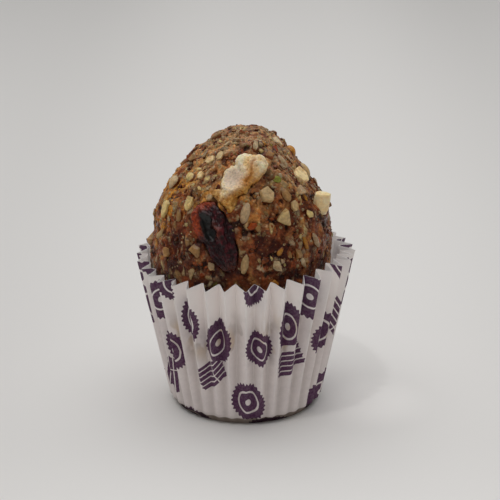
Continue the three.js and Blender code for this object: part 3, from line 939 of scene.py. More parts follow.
def bit_places():
    """The same front and spiral bits as the solids have."""
    stream = seeded_stream(SPIRAL_SEED)
    spots = [(on_sweet(it["azimuth"], it["height"])[0], it["reach"]) for it in (GUM, BERRY, ALMOND)]
    bits = list(FRONT_BITS)
    spots += [(on_sweet(bit[0], bit[1])[0], bit[2] / 2) for bit in FRONT_BITS]
    for i in range(SPIRAL_BITS):
        length = between(BIT_LENGTH, next(stream) ** 1.5)
        azimuth = math.degrees(i * GOLDEN_ANGLE) + 8 * next(stream)
        height = between(BIT_HEIGHTS, (i + next(stream)) / SPIRAL_BITS)
        width = length * between(BIT_SLIMNESS, next(stream))
        spin = 360 * next(stream)
        centre = on_sweet(azimuth, height)[0]
        room = length / 2 + BIT_CLEARANCE
        if any(np.linalg.norm(centre - spot) < reach + room for spot, reach in spots):
            continue
        spots.append((centre, length / 2))
        form = "seed" if i % 4 == 0 else "chip"
        bits.append((azimuth, height, length, width, spin, form, SPIRAL_FLESHES[i % len(SPIRAL_FLESHES)]))
    spots += [(on_sweet(bit[0], bit[1])[0], bit[2] / 2) for bit in SMALL_FRONT_BITS]
    bits += [(*bit[:5], "chip", bit[5]) for bit in SMALL_FRONT_BITS]
    return [(*bit[:6], np.array(FLESH[bit[6]])) for bit in bits], spots


def small_bits(spots, count, lengths, clearance, seed):
    """More bits between the ones that are there, smaller and smaller."""
    stream = seeded_stream(seed)
    bits = []
    centres = [spot for spot, _ in spots]
    reaches = [reach for _, reach in spots]
    for azimuth, height in spread_places(count, SMALL_BIT_HEIGHTS, seed + 1):
        length = between(lengths, next(stream) ** 1.6)
        width = length * between((0.5, 0.9), next(stream))
        spin = 360 * next(stream)
        flesh = MIXED_FLESHES[int(next(stream) * len(MIXED_FLESHES))]
        centre = on_sweet(azimuth, height)[0]
        gaps = np.linalg.norm(np.array(centres) - centre, axis=1) - np.array(reaches)
        if gaps.min() < length / 2 + clearance:
            continue
        centres.append(centre)
        reaches.append(length / 2)
        colour = np.array(FLESH[flesh]) * np.array(BIT_WARMTH)
        bits.append((azimuth, height, length, width, spin, "chip", colour))
    return bits, list(zip(centres, reaches))


def granule_bits(count, lengths, seed):
    """Granules of paste and nut that make the mass look crumbly, anywhere but on the large inclusions."""
    stream = seeded_stream(seed)
    places = spread_places(count, STICKY_CRUMB_HEIGHTS, seed + 1)
    points, _ = on_sweet([a for a, _ in places], [z for _, z in places])
    rooms = [outside(to_local(stand_on(place), points)) for place, outside, _ in INCLUSIONS]
    bits = []
    for (azimuth, height), paste, room in zip(places, paste_colours(points), np.min(rooms, axis=0)):
        length = between(lengths, next(stream) ** 1.7)
        width = length * between((0.6, 0.95), next(stream))
        spin = 360 * next(stream)
        colour = crumb_colour(azimuth, height, next(stream), next(stream), STICKY_NUT_SHARE)
        if colour is None:
            colour = paste * between((0.75, 1.45), next(stream))
        if room > length / 2:
            bits.append((azimuth, height, length, width, spin, "granule", colour))
    return bits


def scatter(name, bits, forms, tree, seed, proud, filmed):
    """One piece of many bits, each a copy of a form, laid in the surface and coloured by its flesh.

    Proud is how far a bit stands out, as a share of its width; filmed is how much paste may cover it.
    """
    stream = seeded_stream(seed)
    all_points, all_faces, all_flesh, all_out = [], [], [], []
    start = 0
    for azimuth, height, length, width, spin, form, colour in bits:
        points, faces = forms[form][int(next(stream) * len(forms[form]))]
        smooth, outward = on_sweet(azimuth, height)
        place, normal, _, _ = tree.ray_cast(Vector(smooth + outward * 4), Vector(-outward))
        if place is None:
            continue
        normal = (normal + Vector(outward)).normalized()
        across = Vector((0, 0, 1)).cross(normal).normalized()
        turn = Matrix((across, normal.cross(across), normal)).transposed().to_4x4()
        tilt = Matrix.Rotation(BIT_TILT * (next(stream) - 0.5), 4, "X")
        lean = Matrix.Rotation(BIT_TILT * (next(stream) - 0.5), 4, "Y")
        thickness = width * between(BIT_THICKNESS, next(stream))
        out = between(proud, next(stream)) * width - 0.85 * thickness
        matrix = Matrix.Translation(place + normal * out) @ turn
        matrix = matrix @ Matrix.Rotation(math.radians(spin), 4, "Z") @ tilt @ lean
        world = to_world(matrix, points * np.array((width / 2, length / 2, thickness)))
        tone = between(BIT_TONES, next(stream))
        film = filmed * next(stream)
        tinted = colour * tone * (1 - film + film * np.array(PASTE_FILM))
        all_points.append(world)
        all_faces.append(faces + start)
        all_flesh.append(np.tile(tinted, (len(points), 1)))
        all_out.append((world - np.array(place)) @ np.array(normal))
        start += len(points)
    piece = new_piece(name, np.concatenate(all_points), np.concatenate(all_faces))
    keep_colour(piece, "flesh", np.concatenate(all_flesh))
    keep_numbers(piece, out=np.concatenate(all_out))
    return piece


# The paper case.


def pleat_depth(slant):
    flat_radius = FOOT_RADIUS + slant
    wall_radius = FOOT_RADIUS + (RIM_RADIUS - FOOT_RADIUS) * slant / WALL_SLANT
    return PLEAT_SHARE * (math.pi / PLEATS) * np.sqrt(flat_radius**2 - wall_radius**2)


def fold_places():
    """Where each fold lies, in pleats, and how far it goes out or in."""
    stream = seeded_stream(FOLD_SEED)
    places, waves = [], []
    for fold in range(2 * PLEATS):
        places.append(fold / 2 + FOLD_JITTER * (2 * next(stream) - 1))
        waves.append((-1 if fold % 2 else 1) * between(FOLD_DEPTHS, next(stream)))
    return np.array(places), np.array(waves)


def pleat_wave(pleat, rounding, places, waves):
    """The zigzag between the folds, rounded off at each of them."""
    full_places = np.concatenate([places[-2:] - PLEATS, places, places[:2] + PLEATS])
    full_waves = np.concatenate([waves[-2:], waves, waves[:2]])
    weights = {-1: 1, -0.5: 2, 0: 3, 0.5: 2, 1: 1}
    total = sum(
        weight * np.interp(pleat + shift * rounding, full_places, full_waves)
        for shift, weight in weights.items()
    )
    return total / sum(weights.values())


def rim_lift(angle):
    lift = 0
    for azimuth, width, height in RIM_WAVES:
        apart = (np.degrees(angle) + 90 - azimuth + 180) % 360 - 180
        lift = lift + height * bell(apart, 0, width)
    return lift


def wall_point(angle, share, places, waves):
    """Points of the case's outer side at angles and shares of the wall's slant."""
    slant = share * (WALL_SLANT + rim_lift(angle))
    depth = pleat_depth(slant)
    pleat = (angle / (2 * math.pi) * PLEATS) % PLEATS
    lean = 0.05 * np.sin(angle * 5 + 2.0) * (share - 0.5)
    rounding = between(FOLD_ROUNDING, share)
    wave = pleat_wave(pleat + lean, rounding, places, waves)
    flare = FRONT_FLARE * np.maximum(0, -np.sin(angle)) ** 2
    mean = FOOT_RADIUS + (RIM_RADIUS + flare - FOOT_RADIUS) * share
    free = mean + wave * depth / 2
    held = sweet_radius(slant) + SWEET_SHIFT * np.cos(angle) + GAP + PAPER
    soft = 0.12
    outer = soft * np.logaddexp(free / soft, held / soft)
    contact = smoothstep(held - free, -0.7, 0.25)
    height = np.sqrt(slant**2 - (outer - FOOT_RADIUS) ** 2)
    points = np.stack([outer * np.cos(angle), outer * np.sin(angle), height], axis=-1)
    return points, wave, contact


def flat_disc(rings):
    """The printed disc of paper, drawn out ring by ring, with its flat form kept as a map."""
    columns = PLEATS * COLUMNS_PER_PLEAT
    bpy.ops.mesh.primitive_circle_add(vertices=columns, radius=rings[0], fill_type="TRIFAN")
    paper = added("pleated_case")
    pick(paper)
    mesh = paper.data
    rim = np.linalg.norm(coordinates(paper)[:, :2], axis=1) > rings[0] * 0.99
    outline = np.array([all(rim[v] for v in edge.vertices) for edge in mesh.edges])
    mesh.vertices.foreach_set("select", rim)
    mesh.edges.foreach_set("select", outline)
    mesh.polygons.foreach_set("select", np.zeros(len(mesh.polygons), bool))
    bpy.context.tool_settings.mesh_select_mode = (False, True, False)
    bpy.ops.object.mode_set(mode="EDIT")
    for before, after in zip(rings, rings[1:]):
        bpy.ops.mesh.extrude_edges_move()
        bpy.ops.transform.resize(value=(after / before, after / before, 1))
    leave_edit()
    layer = mesh.uv_layers.new(name="Flat")
    corners = np.empty(len(mesh.loops), np.int32)
    mesh.loops.foreach_get("vertex_index", corners)
    flat = coordinates(paper)[corners, :2]
    layer.data.foreach_set("uv", (flat / FLAT_MAP + 0.5).astype(np.float32).ravel())
    return paper


def paper_case(printed, back):
    """The flat disc pressed into pleats, with a rounded foot and the print on its outer side."""
    foot = FOOT_RADIUS - FOOT_ROUNDING
    base_rings = (3.0, 6.0, 9.0, 11.5, 13.5, foot)
    turn_rings = tuple(foot + (FOOT_ROUNDING + TURN_UP) * i / 7 for i in range(1, 7))
    wall_rings = tuple(np.linspace(FOOT_RADIUS + TURN_UP, FOOT_RADIUS + WALL_SLANT, 36))
    paper = flat_disc(base_rings + turn_rings + wall_rings)
    flat = coordinates(paper)
    radius = np.linalg.norm(flat[:, :2], axis=1)
    angle = np.arctan2(flat[:, 1], flat[:, 0]) % (2 * math.pi)

    places, waves = fold_places()
    share = np.maximum(radius - FOOT_RADIUS, TURN_UP) / WALL_SLANT
    wall, wave, contact = wall_point(angle, share, places, waves)
    start, _, _ = wall_point(angle, 0 * share + TURN_UP / WALL_SLANT, places, waves)
    turn = np.clip((radius - foot) / (TURN_UP + FOOT_ROUNDING), 0, 1)[:, None]
    way = np.stack([np.cos(angle), np.sin(angle), 0 * angle], axis=1)
    belly = way * (foot + 0.3 * FOOT_ROUNDING) + np.array((0, 0, 0.55 * TURN_UP))
    curve = (1 - turn) ** 2 * foot * way + 2 * turn * (1 - turn) * belly + turn**2 * start
    points = np.where((radius > FOOT_RADIUS + TURN_UP - 0.01)[:, None], wall, curve)
    points = np.where((radius < foot - 0.01)[:, None], flat, points)
    free = smoothstep(radius, 20, 40)
    buckle = np.maximum(layered(points, (0.10, 5.0, 2.2), (0.035, 1.6, 5.2)), -0.03)
    points = points + unit(wall * np.array((1, 1, 0))) * (free * buckle)[:, None]
    uneven = layered(points, (0.10, 2.0, 31.0), (0.05, 0.7, 12.0))
    points[:, 2] += np.where(radius > FOOT_RADIUS + WALL_SLANT - 0.1, uneven - 0.05, 0)
    move_to(paper, points)
    height = points[:, 2]
    high = smoothstep(height, 12, 18) * (1 - smoothstep(height, 26.5, 30.5))
    low = 1 - smoothstep(height, 8, 30)
    keep_numbers(
        paper,
        grease=(0.45 + 0.55 * contact) * high,
        # fold marks the crests of the pleats, which the material makes paler as a painted highlight.
        fold=smoothstep(np.abs(wave), 0.72, 0.98) * free,
        # furrow marks the hollows of the pleats, which the material greys as painted shade, more so low down.
        furrow=smoothstep(-wave, -0.7, 0.8) * (0.45 + 0.55 * low),
        # sole marks the turned-in foot, which the material darkens as painted shade.
        sole=1 - smoothstep(height, TURN_UP - 0.3, TURN_UP + 0.05),
    )
    face_outward(paper)
    polygons = paper.data.polygons
    ways = read_vectors(polygons, "normal") * read_vectors(polygons, "center")
    if (ways[:, :2].sum(1) < 0).mean() > 0.5:
        edit_faces(paper)
        bpy.ops.mesh.flip_normals()
        leave_edit()
    paper.data.materials.append(printed)
    paper.data.materials.append(back)
    apply_modifier(
        paper, "SOLIDIFY", thickness=PAPER, offset=-1, material_offset=1, material_offset_rim=1
    )
    return paper


# Node helpers.


class Nodes:
    """Adds nodes to one tree, and links a socket wherever a value is given as one."""

    def __init__(self, tree):
        self.tree = tree

    def feed(self, socket, value):
        if isinstance(value, bpy.types.NodeSocket):
            self.tree.links.new(value, socket)
        elif socket.type == "RGBA":
            socket.default_value = (*value, 1.0)
        else:
            socket.default_value = value

    def add(self, kind, inputs=None, **settings):
        node = self.tree.nodes.new("ShaderNode" + kind)
        for name, value in settings.items():
            setattr(node, name, value)
        for name, value in (inputs or {}).items():
            self.feed(node.inputs[name], value)
        return node

    def math(self, operation, *values):
        node = self.add("Math", operation=operation)
        for socket, value in zip(node.inputs, values):
            self.feed(socket, value)
        return node.outputs[0]

    def times(self, first, second):
        return self.math("MULTIPLY", first, second)

    def less(self, first, second):
        return self.math("SUBTRACT", first, second)

    def apart(self, value, middle):
        return self.math("ABSOLUTE", self.less(value, middle))

    def vector(self, operation, *values, scale=None):
        node = self.add("VectorMath", operation=operation)
        for socket, value in zip(node.inputs, values):
            self.feed(socket, value)
        if scale is not None:
            self.feed(node.inputs["Scale"], scale)
        return node.outputs["Value" if operation in ("DISTANCE", "LENGTH") else "Vector"]

    def mix(self, share, first, second, most=None, blend="MIX"):
        """Two colours mixed by a share, or by that times the most that it may reach."""
        node = self.add("Mix", data_type="RGBA", blend_type=blend)
        self.feed(node.inputs[0], share if most is None else self.times(share, most))
        self.feed(node.inputs[6], first)  # the colour sockets come after those for numbers
        self.feed(node.inputs[7], second)
        return node.outputs[2]

    def step(self, value, low, high, start=0.0, end=1.0):
        inputs = {"Value": value, "From Min": low, "From Max": high, "To Min": start, "To Max": end}
        return self.add("MapRange", inputs, interpolation_type="SMOOTHSTEP").outputs[0]

    def noise(self, place, size, detail=2.0, roughness=0.6):
        inputs = {"Vector": place, "Scale": 1 / size, "Detail": detail, "Roughness": roughness}
        return self.add("TexNoise", inputs).outputs["Fac"]

    def patches(self, place, size, detail, low, high, start=0.0, end=1.0, roughness=0.6):
        """Soft patches of a size in millimetres, between the start value and the end value."""
        return self.step(self.noise(place, size, detail, roughness), low, high, start, end)

    def cells(self, place, size, randomness=1.0, dimensions="3D"):
        inputs = {"Vector": place, "Scale": 1 / size, "Randomness": randomness}
        return self.add("TexVoronoi", inputs, voronoi_dimensions=dimensions).outputs

    def attribute(self, name, output="Fac"):
        return self.add("Attribute", attribute_name=name, attribute_type="GEOMETRY").outputs[output]

    def place(self):
        """The object's own coordinates in millimetres."""
        return self.vector("SCALE", self.add("TexCoord").outputs["Object"], scale=1 / MM)

    def split(self, vector):
        return self.add("SeparateXYZ", {"Vector": vector}).outputs

    def bump(self, height, strength, distance):
        inputs = {"Height": height, "Strength": strength, "Distance": distance * MM}
        return self.add("Bump", inputs).outputs[0]

    def group(self, tree, **inputs):
        return self.add("Group", inputs, node_tree=tree).outputs


def new_group(name, inputs, outputs):
    """A shader node group with named sockets; an input may have a value of its own."""
    tree = bpy.data.node_groups.new(name, "ShaderNodeTree")
    for label, kind, *value in inputs:
        socket = tree.interface.new_socket(label, in_out="INPUT", socket_type="NodeSocket" + kind)
        if value:
            socket.default_value = value[0]
    for label, kind in outputs:
        tree.interface.new_socket(label, in_out="OUTPUT", socket_type="NodeSocket" + kind)
    given = tree.nodes.new("NodeGroupInput").outputs
    results = tree.nodes.new("NodeGroupOutput").inputs
    return tree, Nodes(tree), given, results


def new_material(name, roughness, **sockets):
    """A material with one Principled shader, whose constant values are set on its own sockets."""
    material = bpy.data.materials.new(name)
    material.use_nodes = True
    nodes = Nodes(material.node_tree)
    shader = material.node_tree.nodes["Principled BSDF"]
    nodes.feed(shader.inputs["Roughness"], roughness)
    for label, value in sockets.items():
        shader.inputs[label.replace("_", " ")].default_value = value
    return material, nodes, shader.inputs


def food_material(name, roughness, specular, light, tint, depth):
    """A material whose flesh takes in so much light, so many millimetres deep, and tints it."""
    material, nodes, shader = new_material(
        name, roughness, Specular_IOR_Level=specular, Subsurface_Weight=light,
        Subsurface_Radius=tint, Subsurface_Scale=depth * MM,
    )
    return material, nodes, shader, nodes.place()


# Shared effects.


def grain_group():
    """Fine mottling of a colour, with a height for a bump."""
    tree, nodes, given, results = new_group(
        "fine grain",
        [("Place", "Vector"), ("Colour", "Color"), ("Size", "Float", 1.0), ("Contrast", "Float", 0.3)],
        [("Colour", "Color"), ("Height", "Float")],
    )
    inputs = {
        "Vector": given["Place"],
        "Scale": nodes.math("DIVIDE", 1.0, given["Size"]),
        "Detail": 3.0,
        "Roughness": 0.55,
    }
    broad = nodes.add("TexNoise", inputs).outputs["Fac"]
    spread = nodes.times(nodes.less(broad, 0.5), given["Contrast"])
    gain = nodes.math("MULTIPLY_ADD", spread, 4.0, 1.0)
    nodes.feed(results["Colour"], nodes.vector("SCALE", given["Colour"], scale=gain))
    nodes.feed(results["Height"], broad)
    return tree


def paste_group():
    """Brown paste smeared over a colour wherever the cover is high, in ragged patches."""
    tree, nodes, given, results = new_group(
        "smeared paste",
        [("Place", "Vector"), ("Colour", "Color"), ("Cover", "Float", 0.0)],
        [("Colour", "Color")],
    )
    ragged = nodes.noise(given["Place"], 0.55, 4.0)
    edge = nodes.math("ADD", given["Cover"], nodes.less(ragged, 0.5))
    brown = nodes.mix(nodes.patches(given["Place"], 1.4, 3.0, 0.35, 0.65), DATE_DARK, DATE_BROWN)
    nodes.feed(results["Colour"], nodes.mix(nodes.step(edge, 0.42, 0.62), given["Colour"], brown))
    return tree


def rosette_ink(nodes, x, y, chance):
    """A serrated rosette with a ring and a dot left bare, a little larger or smaller by chance."""
    oval = nodes.times(y, 0.80)
    radius = nodes.math("SQRT", nodes.math("ADD", nodes.times(x, x), nodes.times(oval, oval)))
    teeth = nodes.math("COSINE", nodes.times(nodes.math("ARCTAN2", oval, x), 27.0))
    size = nodes.math("MULTIPLY_ADD", chance, 0.9, 3.9)
    outline = nodes.math("MULTIPLY_ADD", teeth, 0.20, size)
    rosette = nodes.step(nodes.less(outline, radius), -0.05, 0.05)
    dot = nodes.step(radius, 0.75, 0.63)
    ring = nodes.step(nodes.apart(radius, 2.35), 0.24, 0.17)
    return nodes.times(rosette, nodes.less(1.0, nodes.math("MAXIMUM", dot, ring)))


def patch_ink(nodes, x, y):
    """A striped patch with scalloped ends and a bare belt."""
    scallop = nodes.math("PINGPONG", nodes.times(x, 0.8), 0.5)
    tall = nodes.less(nodes.math("MULTIPLY_ADD", scallop, 0.9, 4.3), nodes.math("ABSOLUTE", y))
    wide = nodes.less(2.9, nodes.math("ABSOLUTE", x))
    patch = nodes.step(nodes.math("MINIMUM", tall, wide), -0.04, 0.04)
    stripes = nodes.step(nodes.math("PINGPONG", nodes.math("ADD", x, 10.0), 0.6), 0.10, 0.17)
    belt = nodes.step(nodes.apart(y, 1.2), 0.10, 0.18)
    return nodes.times(patch, nodes.times(stripes, belt))


def motif_group():
    """The print of the paper: serrated rosettes and striped patches on the flat disc."""
    tree, nodes, given, results = new_group("printed motifs", [("Flat", "Vector")], [("Ink", "Float")])
    wobble = nodes.add("TexNoise", {"Vector": given["Flat"], "Scale": 1.2, "Detail": 2.0})
    shift = nodes.vector("SUBTRACT", wobble.outputs["Color"], (0.5, 0.5, 0.5))
    flat = nodes.vector("ADD", given["Flat"], nodes.vector("SCALE", shift, scale=0.22))
    cell = nodes.cells(flat, 13.6, randomness=0.55, dimensions="2D")
    turning, kind, growth = nodes.split(cell["Color"])
    inputs = {
        "Vector": nodes.vector("SUBTRACT", flat, cell["Position"]),
        "Angle": nodes.times(turning, 2 * math.pi),
    }
    x, y, _ = nodes.split(nodes.add("VectorRotate", inputs, rotation_type="Z_AXIS").outputs[0])
    ink = nodes.add("Mix", data_type="FLOAT")
    nodes.feed(ink.inputs[0], nodes.math("LESS_THAN", kind, 0.24))
    nodes.feed(ink.inputs[2], rosette_ink(nodes, x, y, growth))
    nodes.feed(ink.inputs[3], patch_ink(nodes, x, y))
    nodes.feed(results["Ink"], ink.outputs[0])
    return tree


def fibre_group():
    """Greaseproof paper: cloudy fibres in its colour, patches of fat soaked in, and a faint tooth."""
    tree, nodes, given, results = new_group(
        "paper fibre",
        [("Place", "Vector"), ("Colour", "Color"), ("Grease", "Float", 0.0)],
        [("Colour", "Color"), ("Height", "Float")],
    )
    place = given["Place"]
    tint = nodes.patches(place, 0.9, 5.0, 0.3, 0.7, 0.955, 1.025, roughness=0.7)
    broad = nodes.patches(place, 6.0, 2.0, 0.35, 0.65, 0.97, 1.02, roughness=0.5)
    clean = nodes.vector("SCALE", given["Colour"], scale=nodes.times(tint, broad))
    upright = nodes.vector("MULTIPLY", place, (1.4, 1.4, 0.7))
    blot = nodes.patches(upright, 4.4, 2.0, 0.49, 0.63, roughness=0.5)
    stain = nodes.step(nodes.times(given["Grease"], blot), 0.05, 0.6)
    beside = nodes.vector("ADD", place, (31.0, 5.0, 2.0))
    warm = nodes.patches(beside, 7.0, 1.0, 0.42, 0.58, roughness=0.5)
    oil = nodes.mix(warm, (0.60, 0.57, 0.54), (0.76, 0.64, 0.46))
    nodes.feed(results["Colour"], nodes.mix(stain, clean, oil, 0.80, "MULTIPLY"))
    nodes.feed(results["Height"], nodes.noise(place, 0.35, 3.0))
    return tree


# Materials.


def end_in_grain(nodes, shader, place, grain, colour, size, contrast, strength, distance=0.08):
    """Ends a material in fine grain, which mottles the colour and roughens the surface."""
    fine = nodes.group(grain, Place=place, Colour=colour, Size=size, Contrast=contrast)
    nodes.feed(shader["Base Color"], fine["Colour"])
    nodes.feed(shader["Normal"], nodes.bump(fine["Height"], strength, distance))


def paper_material(name, fibres, motifs, ink_share, light_through):
    """One side of the paper: its print and grease, with painted light on its paler folds and rim, and painted
    shade on its greyer furrows and its dark sole.
    """
    material, nodes, shader = new_material(
        name, 0.62, Specular_IOR_Level=0.14, Subsurface_Weight=light_through,
        Subsurface_Radius=(1.0, 0.92, 0.88), Subsurface_Scale=0.9 * MM,
    )
    place = nodes.place()
    uv = nodes.add("UVMap", uv_map="Flat").outputs[0]
    flat = nodes.vector("SCALE", nodes.vector("SUBTRACT", uv, (0.5, 0.5, 0)), scale=FLAT_MAP)
    ink = nodes.group(motifs, Flat=flat)["Ink"]
    fibre = nodes.group(fibres, Place=place, Colour=PAPER_WHITE, Grease=nodes.attribute("grease"))
    # Painted shade: greyer in the furrows, the more so low down.
    furrow = nodes.attribute("furrow")
    furrowed = nodes.mix(furrow, fibre["Colour"], (0.82, 0.81, 0.80), blend="MULTIPLY")
    # Painted highlight: paler along the crests of the folds.
    fold_highlit = nodes.mix(nodes.attribute("fold"), furrowed, (0.93, 0.90, 0.88), 0.5)
    # Painted light: the wall is paler towards the rim.
    near_rim = nodes.step(nodes.vector("LENGTH", flat), 37.0, 45.0, 0.0, 0.85)
    bright = nodes.mix(near_rim, fold_highlit, RIM_PAINTED_LIGHT)
    density = nodes.patches(place, 0.5, 3.0, 0.2, 0.7, ink_share * 0.9, ink_share)
    inked = nodes.mix(ink, bright, PURPLE, density)
    # Painted shade: the turned-in foot under the crease is darkened brown.
    sole_shaded = nodes.mix(nodes.attribute("sole"), inked, (0.26, 0.22, 0.18), 0.9, "MULTIPLY")
    nodes.feed(shader["Base Color"], sole_shaded)
    nodes.feed(shader["Normal"], nodes.bump(fibre["Height"], 0.25, 0.03))
    return material


def mash_material(grain, paste):
    """Date paste: painted shade in its dips, moist here and drier there, with fine flecks of nut."""
    material, nodes, shader, place = food_material(
        "date_and_nut_mash", roughness=0.5, specular=0.18, light=0.35, tint=(1.0, 0.38, 0.16), depth=0.9
    )
    crevice = nodes.attribute("crevice")
    crumb = nodes.cells(place, 0.62)
    chance = nodes.split(crumb["Color"])
    speck = nodes.mix(nodes.step(chance[1], 0.2, 0.9), (0.30, 0.14, 0.05), (0.60, 0.43, 0.23))
    nutty = nodes.math("GREATER_THAN", chance[0], 0.74)
    showing = nodes.times(nutty, nodes.step(crumb["Distance"], 0.50, 0.20))
    flecked = nodes.mix(showing, nodes.attribute("mash", "Color"), speck, 0.55)
    cover = nodes.step(crevice, 0.0, 1.0, 0.06, 0.46)
    coated = nodes.group(paste, Place=place, Colour=flecked, Cover=cover)
    # Painted shade: darker in the crevices, a little brighter out of them.
    shade = nodes.step(crevice, 0.05, 0.8, 1.06, 0.42)
    dipped = nodes.vector("SCALE", coated["Colour"], scale=shade)
    mottled = nodes.group(grain, Place=place, Colour=dipped, Size=1.3, Contrast=0.34)["Colour"]
    fine = nodes.group(grain, Place=place, Colour=mottled, Size=0.5, Contrast=0.46)
    nodes.feed(shader["Base Color"], fine["Colour"])
    nodes.feed(shader["Roughness"], nodes.patches(place, 1.6, 3.0, 0.35, 0.60, 0.50, 0.16))
    domes = nodes.step(crumb["Distance"], 0.60, 0.05)
    sharp = nodes.noise(place, 0.28, 3.0, 0.65)
    height = nodes.math("MULTIPLY_ADD", fine["Height"], 1.3, nodes.times(domes, 0.5))
    height = nodes.math("MULTIPLY_ADD", sharp, 0.7, height)
    nodes.feed(shader["Normal"], nodes.bump(height, 0.9, 0.12))
    return material


def chopped_material(grain, paste):
    """Chopped nuts, seeds and fruit: each bit has its flesh, dirtied by the paste round its foot."""
    material, nodes, shader, place = food_material(
        "chopped_nuts", roughness=0.26, specular=0.26, light=0.35, tint=(1.0, 0.62, 0.32), depth=0.9
    )
    out = nodes.attribute("out")
    # Painted light and shade: a bit is brighter where it stands out and darker at its foot.
    lift = nodes.step(out, 0.10, 1.0, 0.80, 1.25)
    raised = nodes.vector("SCALE", nodes.attribute("flesh", "Color"), scale=lift)
    film = nodes.patches(place, 1.6, 3.0, 0.50, 0.68)
    filmed = nodes.mix(film, raised, PASTE_FILM, 0.55, "MULTIPLY")
    cover = nodes.step(out, 0.50, 0.0, 0.14, 0.84)
    dirty = nodes.group(paste, Place=place, Colour=filmed, Cover=cover)["Colour"]
    end_in_grain(nodes, shader, place, grain, dirty, size=0.6, contrast=0.32, strength=0.7)
    return material


def granule_material(grain):
    """The crumbs of the paste: moist, each of its own brown."""
    material, nodes, shader, place = food_material(
        "sticky_crumbs", roughness=0.22, specular=0.20, light=0.40, tint=(1.0, 0.42, 0.18), depth=0.8
    )
    flesh = nodes.attribute("flesh", "Color")
    end_in_grain(nodes, shader, place, grain, flesh, size=0.5, contrast=0.36, strength=0.7)
    return material


def gum_material(grain, paste):
    """Puffed gum: chalky cream with a smooth dish, browned low down by toasting and by painted shade, stained
    at its split, dotted brown.
    """
    material, nodes, shader, place = food_material(
        "puffed_gum_crust", roughness=0.55, specular=0.3, light=0.35, tint=(1.0, 0.70, 0.42), depth=0.8
    )
    dish = nodes.attribute("dish")
    patch = nodes.patches(place, 2.0, 4.0, 0.36, 0.60)
    cream = nodes.mix(patch, (0.86, 0.62, 0.30), (0.97, 0.84, 0.58))
    pale = nodes.mix(dish, cream, (0.83, 0.66, 0.50))
    cloudy = nodes.times(dish, nodes.patches(place, 1.1, 3.0, 0.45, 0.62))
    grey = nodes.mix(cloudy, pale, (0.62, 0.48, 0.36), 0.6)
    # Painted highlight: the lip of the dish is whitened.
    lip_highlit = nodes.mix(nodes.attribute("lip"), grey, (0.95, 0.84, 0.66), 0.6)
    brownish = nodes.noise(place, 0.9, 5.0, 0.7)
    # Browned on the flank facing down and right and at the tail: partly toasting, partly painted shade.
    toast_and_shade = nodes.mix(nodes.step(brownish, 0.40, 0.60), (0.68, 0.38, 0.10), (0.42, 0.155, 0.014))
    toasted_and_shaded = nodes.mix(nodes.attribute("side"), lip_highlit, toast_and_shade)
    streak = nodes.times(nodes.attribute("stain"), nodes.step(brownish, 0.28, 0.50))
    stained = nodes.mix(streak, toasted_and_shaded, (0.62, 0.25, 0.030))
    seam = nodes.mix(nodes.attribute("split"), stained, (0.40, 0.12, 0.012), 0.6)
    # Painted shade: browner and darker in the dips of the crust.
    pitted = nodes.mix(nodes.attribute("deep"), seam, (0.42, 0.18, 0.030), 0.7)
    dots = nodes.cells(place, 0.75)
    brown = nodes.math("GREATER_THAN", nodes.split(dots["Color"])[0], 0.90)
    dot = nodes.times(brown, nodes.step(dots["Distance"], 0.22, 0.12))
    dotted = nodes.mix(dot, pitted, (0.20, 0.07, 0.015), 0.75)
    cover = nodes.times(nodes.attribute("sunk"), 0.34)
    dirty = nodes.group(paste, Place=place, Colour=dotted, Cover=cover)["Colour"]
    end_in_grain(nodes, shader, place, grain, dirty, size=0.40, contrast=0.24, strength=1.0, distance=0.14)
    return material


def berry_material(grain):
    """A wine-dark skin, redder along its upper left rim as painted light, and nearly black in its creases and
    its hollow as painted shade.
    """
    material, nodes, shader, place = food_material(
        "berry_skin", roughness=0.38, specular=0.28, light=0.08, tint=(1.0, 0.15, 0.10), depth=0.5
    )
    hollow = nodes.attribute("hollow")
    patch = nodes.patches(place, 1.6, 4.0, 0.44, 0.66)
    wine = nodes.mix(patch, (0.018, 0.003, 0.004), (0.120, 0.010, 0.016))
    tipped = nodes.mix(nodes.attribute("tip"), wine, (0.13, 0.030, 0.014), 0.8)
    # Painted light: redder along the upper left rim, with fibre lines in it.
    rim = nodes.mix(nodes.attribute("fibre"), (0.30, 0.020, 0.009), (0.72, 0.130, 0.028))
    lit = nodes.mix(nodes.attribute("blush"), tipped, rim)
    # Painted shade: nearly black in the creases and in the hollow.
    dark = nodes.mix(nodes.attribute("crease"), lit, (0.012, 0.003, 0.004), 0.85)
    deep = nodes.mix(hollow, dark, (0.012, 0.013, 0.012), 0.92)
    nodes.feed(shader["Roughness"], nodes.step(hollow, 0.0, 1.0, 0.27, 0.10))
    end_in_grain(nodes, shader, place, grain, deep, size=0.35, contrast=0.30, strength=0.6)
    return material


def almond_material(grain, paste):
    """Fresh broken nut, waxy and pale, dirtied where it goes into the mass."""
    material, nodes, shader, place = food_material(
        "almond_flesh", roughness=0.45, specular=0.35, light=0.35, tint=(1.0, 0.7, 0.38), depth=1.0
    )
    patch = nodes.patches(place, 1.8, 3.0, 0.38, 0.62)
    cream = nodes.mix(patch, (0.95, 0.69, 0.35), (0.98, 0.80, 0.50))
    cover = nodes.times(nodes.attribute("sunk"), 0.6)
    dirty = nodes.group(paste, Place=place, Colour=cream, Cover=cover)["Colour"]
    end_in_grain(nodes, shader, place, grain, dirty, size=0.6, contrast=0.14, strength=0.6, distance=0.07)
    return material


